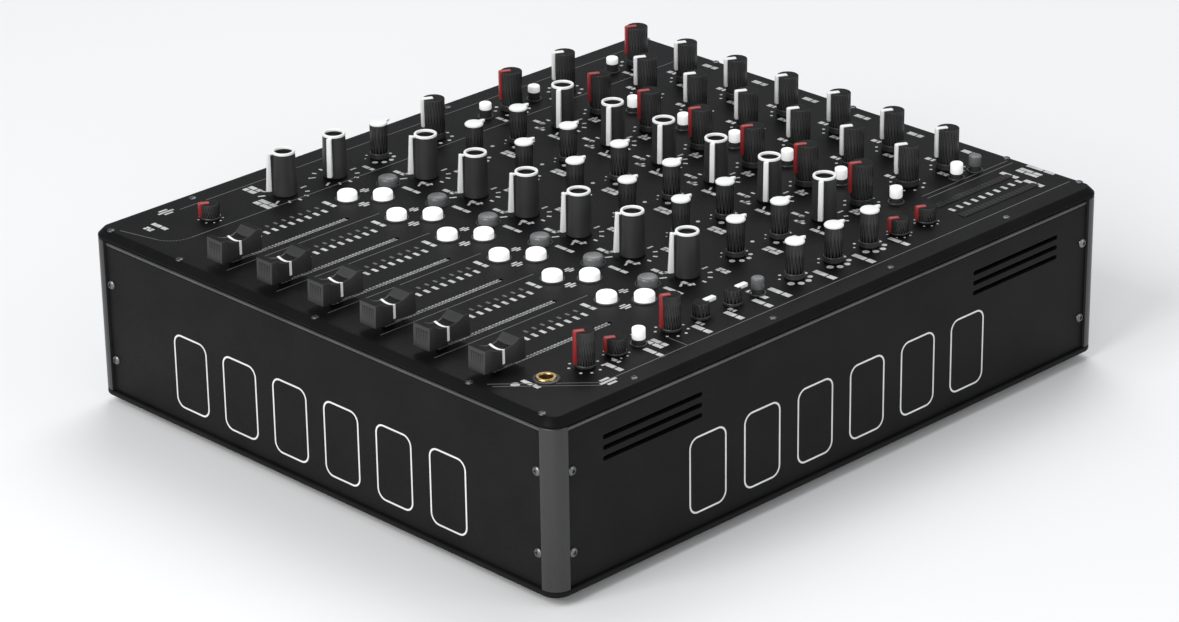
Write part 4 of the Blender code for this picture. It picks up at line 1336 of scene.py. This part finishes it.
@dataclass
class Keys(SubAssembly):
    """Round keys in black collars, and small lit and unlit buttons."""

    key_radius: float = 5.5
    key_height: float = 5.0
    key_round: float = 1.6
    key_foot: float = -5.8
    button_radius: float = 3.5

    def key(self, coat: Coat) -> Made:
        """Domed round key.

        Args:
            coat: Lit or unlit finish.

        Returns:
            The mesh.
        """
        r, h, e = self.key_radius, self.key_height, self.key_round
        edge = arc(r - e, h - 0.3 - e, e, 90, 0, 6)
        profile = [(0, h), (r * 0.45, h - 0.08), *edge, (r, self.key_foot), (0, self.key_foot)]
        return Shape().lathe(profile, 44).made(coat, DOMED)

    def collar(self) -> Made:
        """Thin black collar round a key.

        Returns:
            The mesh.
        """
        inner, outer = self.key_radius + 0.5, self.key_radius + 1.4
        ring = [(inner, 0.2), (inner + 0.2, 0.6), (outer - 0.3, 0.6), (outer, 0.1), (outer, -0.1),
                (inner, -0.1), (inner, 0.2)]
        return Shape().lathe(ring, 44).made(Coat.KNOB)

    def build(self) -> None:
        """Place all keys and buttons."""
        lit, unlit, collar = self.key(Coat.LIT), self.key(Coat.UNLIT), self.collar()
        rows = (("cue_key", lit, PLAN.cue_front), ("second_cue_key", lit, PLAN.cue_back),
                ("mute_key", unlit, PLAN.mute))
        for channel in CHANNELS:
            for stem, key, (dx, y) in rows:
                name = f"{stem}_{channel}"
                place = at(PLAN.channel_x(channel) + dx, y, PLAN.face)
                body, node = (name, name) if stem == "cue_key" else (ROOT, "key_bank")
                self.shop.stamp(name + "_cap", key, place, body, node)
                self.shop.stamp(name + "_collar", collar, place)
        pairs = {kind: kind.pair(self.button_radius) for kind in Button}
        for name, x, y, kind, node in self.buttons():
            cap, stem = pairs[kind]
            self.shop.stamp(name + "_cap", cap, at(x, y, PLAN.face), replaced=node)
            self.shop.stamp(name + "_stem", stem, at(x, y, PLAN.face))

    @staticmethod
    def buttons() -> Iterator[tuple[str, float, float, Button, str]]:
        """Small buttons that the banks hold.

        Yields:
            Name, place along X and Y, type and node of each button.
        """
        dx, row = PLAN.send
        for channel in CHANNELS:
            yield f"send_button_{channel}", PLAN.channel_x(channel) + dx, row, Button.LIT, "send_button_bank"
        for number, y in enumerate(PLAN.left_buttons, 1):
            yield f"left_button_{number}", PLAN.left_button_x, y, Button.TIPPED, "knob_bank"
        for name, x, y, kind in (("front", PLAN.right, PLAN.right_lit, Button.LIT),
                                 ("middle", PLAN.right, PLAN.right_unlit, Button.DARK),
                                 ("back", PLAN.back_x, PLAN.back_lit, Button.LIT),
                                 ("rear", PLAN.back_x, PLAN.back_unlit, Button.DARK)):
            yield f"right_{name}_button", x, y, kind, "knob_bank"


@dataclass
class Faders(SubAssembly):
    """Waisted fader caps with raised ribbed ends, a spooned finger dip and a white centre line."""

    width: float = 12.2
    waist: float = 9.8
    length: float = 28.0
    lift: float = 3.5
    end_height: float = 16.0
    mid_height: float = 12.4
    end_flat: float = 4.2
    end_draft: float = 0.5
    spoon: float = 1.0
    line_width: float = 1.5
    line_rise: float = 0.16
    line_depth: float = 0.6
    ribs: int = 7
    rib_pitch: float = 0.105

    @property
    def dip(self) -> float:
        """Half the length of the finger dip."""
        return self.length / 2 - self.end_flat

    def half_width(self, y: float) -> float:
        """Half the cap's width at a place along it, least in the middle."""
        share = 0.5 + 0.5 * math.cos(math.pi * min(1.0, abs(y) / self.dip))
        return (self.width + (self.waist - self.width) * share) / 2

    def spoon_depth(self, x: float, y: float) -> float:
        """How far the top lies below its edges at a place across and along the cap."""
        along = max(0.0, 1 - (y / self.dip) ** 2)
        return self.spoon * along * max(0.0, 1 - (x / self.half_width(y)) ** 2)

    def side_outline(self) -> list[Point]:
        """Outline of the cap from the side, as Y and Z.

        Returns:
            The outline.
        """
        half, sink = self.length / 2, self.end_height - self.mid_height
        radius = (self.dip ** 2 + sink ** 2) / (2 * sink)
        spread = math.degrees(math.asin(self.dip / radius))
        curve = arc(0.0, self.mid_height + radius, radius, 270 + spread, 270 - spread, 16)
        top = half - self.end_draft
        foot = [(-half, self.lift), (half, self.lift)]
        return foot + [(top, self.end_height), *curve, (-top, self.end_height)]

    def cap(self) -> Made:
        """Black cap with ribbed ends, and the stem below it.

        Returns:
            The mesh.
        """
        shape = Shape().prism(self.side_outline(), -self.width / 2, self.width / 2, SIDEWAYS)
        bm = shape.bm
        cuts = [((0.0, y * MM, 0.0), (0.0, 1.0, 0.0)) for y in range(-9, 10, 2)]
        cuts += [((x * self.width / 10 * MM, 0.0, 0.0), (1.0, 0.0, 0.0)) for x in range(-4, 5)]
        for spot, across in cuts:
            bmesh.ops.bisect_plane(bm, geom=bm.verts[:] + bm.edges[:] + bm.faces[:], dist=WELD, plane_co=spot,
                                   plane_no=across)
        for vert in bm.verts:
            x, y, z = vert.co / MM
            x *= self.half_width(y) / (self.width / 2)
            if z > self.lift + 1.0:
                vert.co.z -= self.spoon_depth(x, y) * MM
            vert.co.x = x * MM
        shape.round_where(bent(0.7), 0.5, 3)
        half, low, high = self.length / 2, self.lift + 2.0, self.end_height - 2.2
        for near, far in ((0.05 - half, 1.0 - half), (half - 1.0, half - 0.05)):
            for i in range(self.ribs):
                x = (i - (self.ribs - 1) / 2) * self.width * self.rib_pitch
                shape.block((x - 0.4, near, low), (x + 0.4, far, high), 0.1)
        shape.block((-0.5, -4.0, -4.0), (0.5, 4.0, self.lift + 1.0), 0.1)
        # Up-facing faces take the darker top finish: painted shade.
        return shape.made(Coat.KNOB, top=Coat.KNOB_TOP_SHADE)

    def line(self) -> Made:
        """White line over the dip and down both sides.

        Returns:
            The mesh.
        """
        half, foot, rise, deep = self.half_width(0.0), self.lift + 1.2, self.line_rise, self.line_depth
        top = [(x, self.mid_height - self.spoon_depth(x, 0.0)) for x in (half * i / 6 for i in range(-6, 7))]
        wide, slim, edge = half + rise, half - deep, top[0][1]
        outline = [(-wide, foot), (-wide, edge), *((x, z + rise) for x, z in top), (wide, edge), (wide, foot),
                   (slim, foot), (slim, edge - deep), *((x, z - deep) for x, z in reversed(top[2:-2])),
                   (-slim, edge - deep), (-slim, foot)]
        return Shape().prism(outline, -self.line_width / 2, self.line_width / 2, STANDING).made(Coat.WHITE)

    def build(self) -> None:
        """Place a cap on each fader."""
        cap, line = self.cap(), self.line()
        for node in (f"fader_{channel}" for channel in CHANNELS):
            place = over(node, PLAN.face)
            self.shop.stamp(node + "_cap", cap, place, node, node)
            self.shop.stamp(node + "_line", line, place, node)


@dataclass
class LevelMeter(SubAssembly):
    """Two unlit columns of segments under glossy strips, with a scale between them."""

    columns: Point = (132.5, 151.0)
    scale_x: float = 141.7
    front: float = 126.5
    pitch: float = 3.1
    segments: int = 19
    amber_from: int = 13
    red_from: int = 16
    strip_width: float = 5.4
    strip_height: float = 0.3

    def build(self) -> None:
        """Place the strips, the segments and the scale."""
        rows = [self.front + i * self.pitch for i in range(self.segments)]
        length = self.pitch * self.segments
        middle = self.front + (length - self.pitch) / 2
        strips, marks = Shape(), Shape()
        outline = rounded_outline(self.strip_width, length + 4.0, 1.2, 5)
        for x in self.columns:
            strips.prism(outline, -INK_SINK, self.strip_height, at(x, middle, PLAN.face))
        self.shop.stamp("meter_strips", strips.made(Coat.LENS))
        for coat, part in ((Coat.LED_GREEN, rows[:self.amber_from]),
                           (Coat.LED_AMBER, rows[self.amber_from:self.red_from]),
                           (Coat.LED_RED, rows[self.red_from:])):
            lamps = Shape()
            for x in self.columns:
                for y in part:
                    lamps.block((x - 2.0, y - 0.9, PLAN.face + 0.2),
                                (x + 2.0, y + 0.9, PLAN.face + 0.42), 0.08)
            self.shop.stamp(coat.value.name + "s", lamps.made(coat))
        for y in rows[::2]:
            marks.block((self.scale_x - 2.2, y - 1.1, PLAN.face - INK_SINK),
                        (self.scale_x + 2.2, y + 1.1, PLAN.face + INK_RISE))
        self.shop.stamp("meter_scale", marks.made(Coat.LEGEND))


@dataclass
class Sockets(SubAssembly):
    """Headphone socket on the face, and the connectors in the rear panel."""

    bore: float = 3.4
    nut: float = 5.4
    inlet_rim: float = 4.0
    inlet_dx: float = -12.5
    rocker_dx: float = 17.0
    rocker_rest: float = math.radians(8.0)
    rear_dx: float = 20.0
    jack_level: float = 66.0
    phono_levels: tuple[tuple[str, float], ...] = (("upper", 42.0), ("lower", 26.0))
    phono_from: int = 3
    output_x: float = 151.0
    output_levels: Point = (34.0, 66.0)

    def build(self) -> None:
        """Place the sockets."""
        self.headphone()
        self.mains()
        self.rocker()
        self.rear()

    def headphone(self) -> None:
        """Gilt flange with an open bore, a black washer and the closed end of the bore."""
        bore, nut, rim = self.bore, self.nut, self.nut + 0.2
        place = over("headphone_socket", PLAN.face)
        sleeve = [(bore, 1), (bore + 0.4, 1.5), (nut - 0.4, 1.5), (nut, 1), (nut, -10), (nut - 1, -10),
                  (bore, -9.8), (bore, 1)]
        washer = [(rim, 0.7), (6.8, 0.6), (7.2, 0.3), (7.2, -0.1), (rim, -0.1), (rim, 0.7)]
        well = [(0, -9.6), (bore + 0.2, -9.6), (bore + 0.2, -12), (0, -12)]
        for name, profile, steps, coat, node in (("sleeve", sleeve, 48, Coat.GILT, "headphone_socket"),
                                                 ("washer", washer, 48, Coat.SOCKET, ""),
                                                 ("well", well, 32, Coat.SOCKET, "")):
            made = Shape().lathe(profile, steps).made(coat)
            self.shop.stamp("headphone_socket_" + name, made, place, replaced=node)

    def mains(self) -> None:
        """Mains inlet with its pins."""
        low, high = box("mains_inlet")
        rim, face = self.inlet_rim, high[1]
        x, z = (low[0] + high[0]) / 2, (low[2] + high[2]) / 2
        flange = rounded_outline(high[0] - low[0], high[2] - low[2], 3.0, 6)
        body = Shape().block((low[0] + rim, low[1], low[2] + rim),
                             (high[0] - rim, face - 0.2, high[2] - rim), 0.6, 2)
        body.prism(flange, 0.0, 1.2, at(x, face, z) @ STANDING)
        socket_x = x + self.inlet_dx
        wells = Shape()
        for mid, half_x, depth, half_z in ((socket_x, 12.25, 15.0, 8.5),
                                           (x + self.rocker_dx, 5.85, 12.0, 10.6)):
            wells.block((mid - half_x, face - depth, z - half_z), (mid + half_x, face + 10.0, z + half_z))
        self.shop.stamp("mains_inlet_body", body.carve(wells).made(Coat.SOCKET), replaced="mains_inlet")
        pins = Shape()
        for dx, dz in ((-7.0, -1.0), (0.0, 3.0), (7.0, -1.0)):
            pin_x, pin_z = socket_x + dx, z + dz
            pins.block((pin_x - 1, face - 15.2, pin_z - 2), (pin_x + 1, face - 4, pin_z + 2), 0.4, 2)
        self.shop.stamp("mains_inlet_pins", pins.made(Coat.NICKEL))

    def rocker(self) -> None:
        """Rocker switch with a hollowed press face."""
        tilt = at(*hinge_point("power_switch_rock")) @ Matrix.Rotation(self.rocker_rest, 4, "X")
        half_h, half_w, half_t = 10.0, 5.25, 3.0
        hollow = arc(0.0, half_t + 38.5, 40.0, 270 + 13, 270 - 13, 12)
        outline = [(-half_h, -half_t), (half_h, -half_t), (half_h, half_t), *hollow, (-half_h, half_t)]
        shape = Shape().prism(outline, -half_w, half_w, SWAP_X_Z)
        bmesh.ops.recalc_face_normals(shape.bm, faces=shape.bm.faces)
        self.shop.stamp("power_switch_rocker", shape.made(Coat.KNOB), tilt, "power_switch", "power_switch")

    def rear(self) -> None:
        """Phono pairs and jack sockets for the channels, and two round outputs."""
        phono = Shape().lathe([(0, 3), (1.8, 3), (1.8, 6.2), (3.6, 6.2), (4.1, 5.8), (4.1, 1.2), (6, 1.2),
                               (6, 0), (0, 0)], 32).made(Coat.NICKEL)
        jack = Shape().lathe([(0, 0.4), (3.3, 0.4), (3.3, 2.6), (5, 2.6), (5.4, 2), (6.6, 1.8), (6.6, 0),
                              (0, 0)], 32).made(Coat.SOCKET)
        shape = Shape().lathe([(0, 0.4), (8.8, 0.4), (8.8, 2.2), (10.5, 2.6), (12, 2.2), (12, 0), (0, 0)], 44)
        for x, y in ((-4.2, 2.0), (4.2, 2.0), (0.0, -5.0)):
            shape.lathe([(0, 2), (1.2, 1.8), (1.2, 0.3), (0, 0.3)], 16, at(x, y, 0.0))
        output = shape.made(Coat.SOCKET)
        for channel in CHANNELS:
            x = PLAN.channel_x(channel) + self.rear_dx
            self.shop.stamp(f"rear_jack_{channel}", jack, Facing.REAR.place(x, self.jack_level))
            for name, level in self.phono_levels if channel >= self.phono_from else ():
                self.shop.stamp(f"rear_phono_{name}_{channel}", phono, Facing.REAR.place(x, level))
        for number, level in enumerate(self.output_levels, 1):
            self.shop.stamp(f"rear_round_output_{number}", output, Facing.REAR.place(self.output_x, level))


@dataclass
class InnerParts(SubAssembly):
    """Board and supply inside the case, which keep their solids."""

    def build(self) -> None:
        """Give both nodes their finishes."""
        for node, coat in (("main_board", Coat.BOARD), ("power_supply", Coat.SHEET)):
            materials = frame["nodes"][node].data.materials
            materials.clear()
            materials.append(coat.material)
            LOG.info("%s keeps its solid", node)


@dataclass
class Studio:
    """Pale floor, soft lamps and the camera of the photograph's view, in metres and degrees."""

    image_width: float = 1179.0
    focal_pixels: float = 4067.59
    sensor: float = 36.0
    eye: tuple[float, float, float] = (1.45126, -1.4298, 0.9415)
    yaw: float = -45.6104
    pitch: float = 23.8498
    roll: float = -0.8256
    aim: tuple[float, float, float] = (0.0, 0.0, 0.06)
    floor_size: float = 6.0

    def build(self) -> None:
        """Make the camera, the floor, the lamps and the world."""
        self.camera()
        self.floor()
        self.lamp("key_lamp", (0.1, -2.0, 1.6), 1.3, 44.0)
        self.lamp("side_lamp", (1.9, 0.6, 1.0), 1.2, 9.0)
        self.lamp("back_lamp", (-0.9, 1.2, 2.2), 1.5, 26.0)
        self.lamp("sheen_lamp", (1.3, -1.85, 0.75), 0.4, 7.0)
        scene = bpy.context.scene
        scene.view_settings.view_transform = "Standard"
        scene.world = bpy.data.worlds.new("studio_world")
        scene.world.use_nodes = True
        set_inputs(scene.world.node_tree.nodes["Background"], {
            "Color": (0.8, 0.82, 0.85, 1.0), "Strength": 0.55})

    def camera(self) -> None:
        """Set the camera up from its yaw, pitch and roll."""
        yaw, pitch, roll = (math.radians(a) for a in (self.yaw, self.pitch, self.roll))
        ahead = Vector((math.sin(yaw) * math.cos(pitch), math.cos(yaw) * math.cos(pitch), -math.sin(pitch)))
        right = Vector((math.cos(yaw), -math.sin(yaw), 0.0))
        up = right.cross(ahead)
        turned_right = right * math.cos(roll) + up * math.sin(roll)
        turned_up = up * math.cos(roll) - right * math.sin(roll)
        data = bpy.data.cameras.new("photo_camera")
        data.sensor_fit = "HORIZONTAL"
        data.sensor_width = self.sensor
        data.lens = self.sensor * self.focal_pixels / self.image_width
        data.clip_end = 50.0
        camera = bpy.data.objects.new("photo_camera", data)
        axes = Matrix((turned_right, turned_up, -ahead)).transposed().to_4x4()
        camera.matrix_world = Matrix.Translation(self.eye) @ axes
        bpy.context.scene.collection.objects.link(camera)
        bpy.context.scene.camera = camera

    def floor(self) -> None:
        """Wide pale floor."""
        bm = bmesh.new()
        bmesh.ops.create_grid(bm, x_segments=1, y_segments=1, size=self.floor_size)
        mesh = bpy.data.meshes.new("studio_floor")
        bm.to_mesh(mesh)
        bm.free()
        material = bpy.data.materials.new("studio_floor")
        material.use_nodes = True
        set_inputs(material.node_tree.nodes["Principled BSDF"], {
            "Base Color": (0.8, 0.8, 0.8, 1.0), "Roughness": 0.75})
        mesh.materials.append(material)
        floor = bpy.data.objects.new("studio_floor", mesh)
        bpy.context.scene.collection.objects.link(floor)

    def lamp(self, name: str, spot: tuple[float, float, float], size: float, power: float) -> None:
        """Hang a soft area lamp that looks at the mixer.

        Args:
            name: Name of the lamp.
            spot: Where it hangs.
            size: Side of its square face.
            power: Power in watts.
        """
        data = bpy.data.lights.new(name, "AREA")
        data.size = size
        data.energy = power
        lamp = bpy.data.objects.new(name, data)
        lamp.location = spot
        lamp.rotation_euler = (Vector(self.aim) - Vector(spot)).to_track_quat("-Z", "Y").to_euler()
        bpy.context.scene.collection.objects.link(lamp)


def main() -> None:
    """Build the mixer and the studio, and log the number of pieces."""
    logging.basicConfig(level=logging.INFO, format="%(name)s: %(message)s")
    shop = Workshop()
    for kind in (Case, TopPlate, Legends, SidePrint, RingKnobs, LineKnobs, CapKnobs, Selectors, Keys, Faders,
                 LevelMeter, Sockets, InnerParts):
        kind(shop).build()
    Studio().build()
    LOG.info("%d pieces", shop.count)


if __name__ == "__main__":
    main()
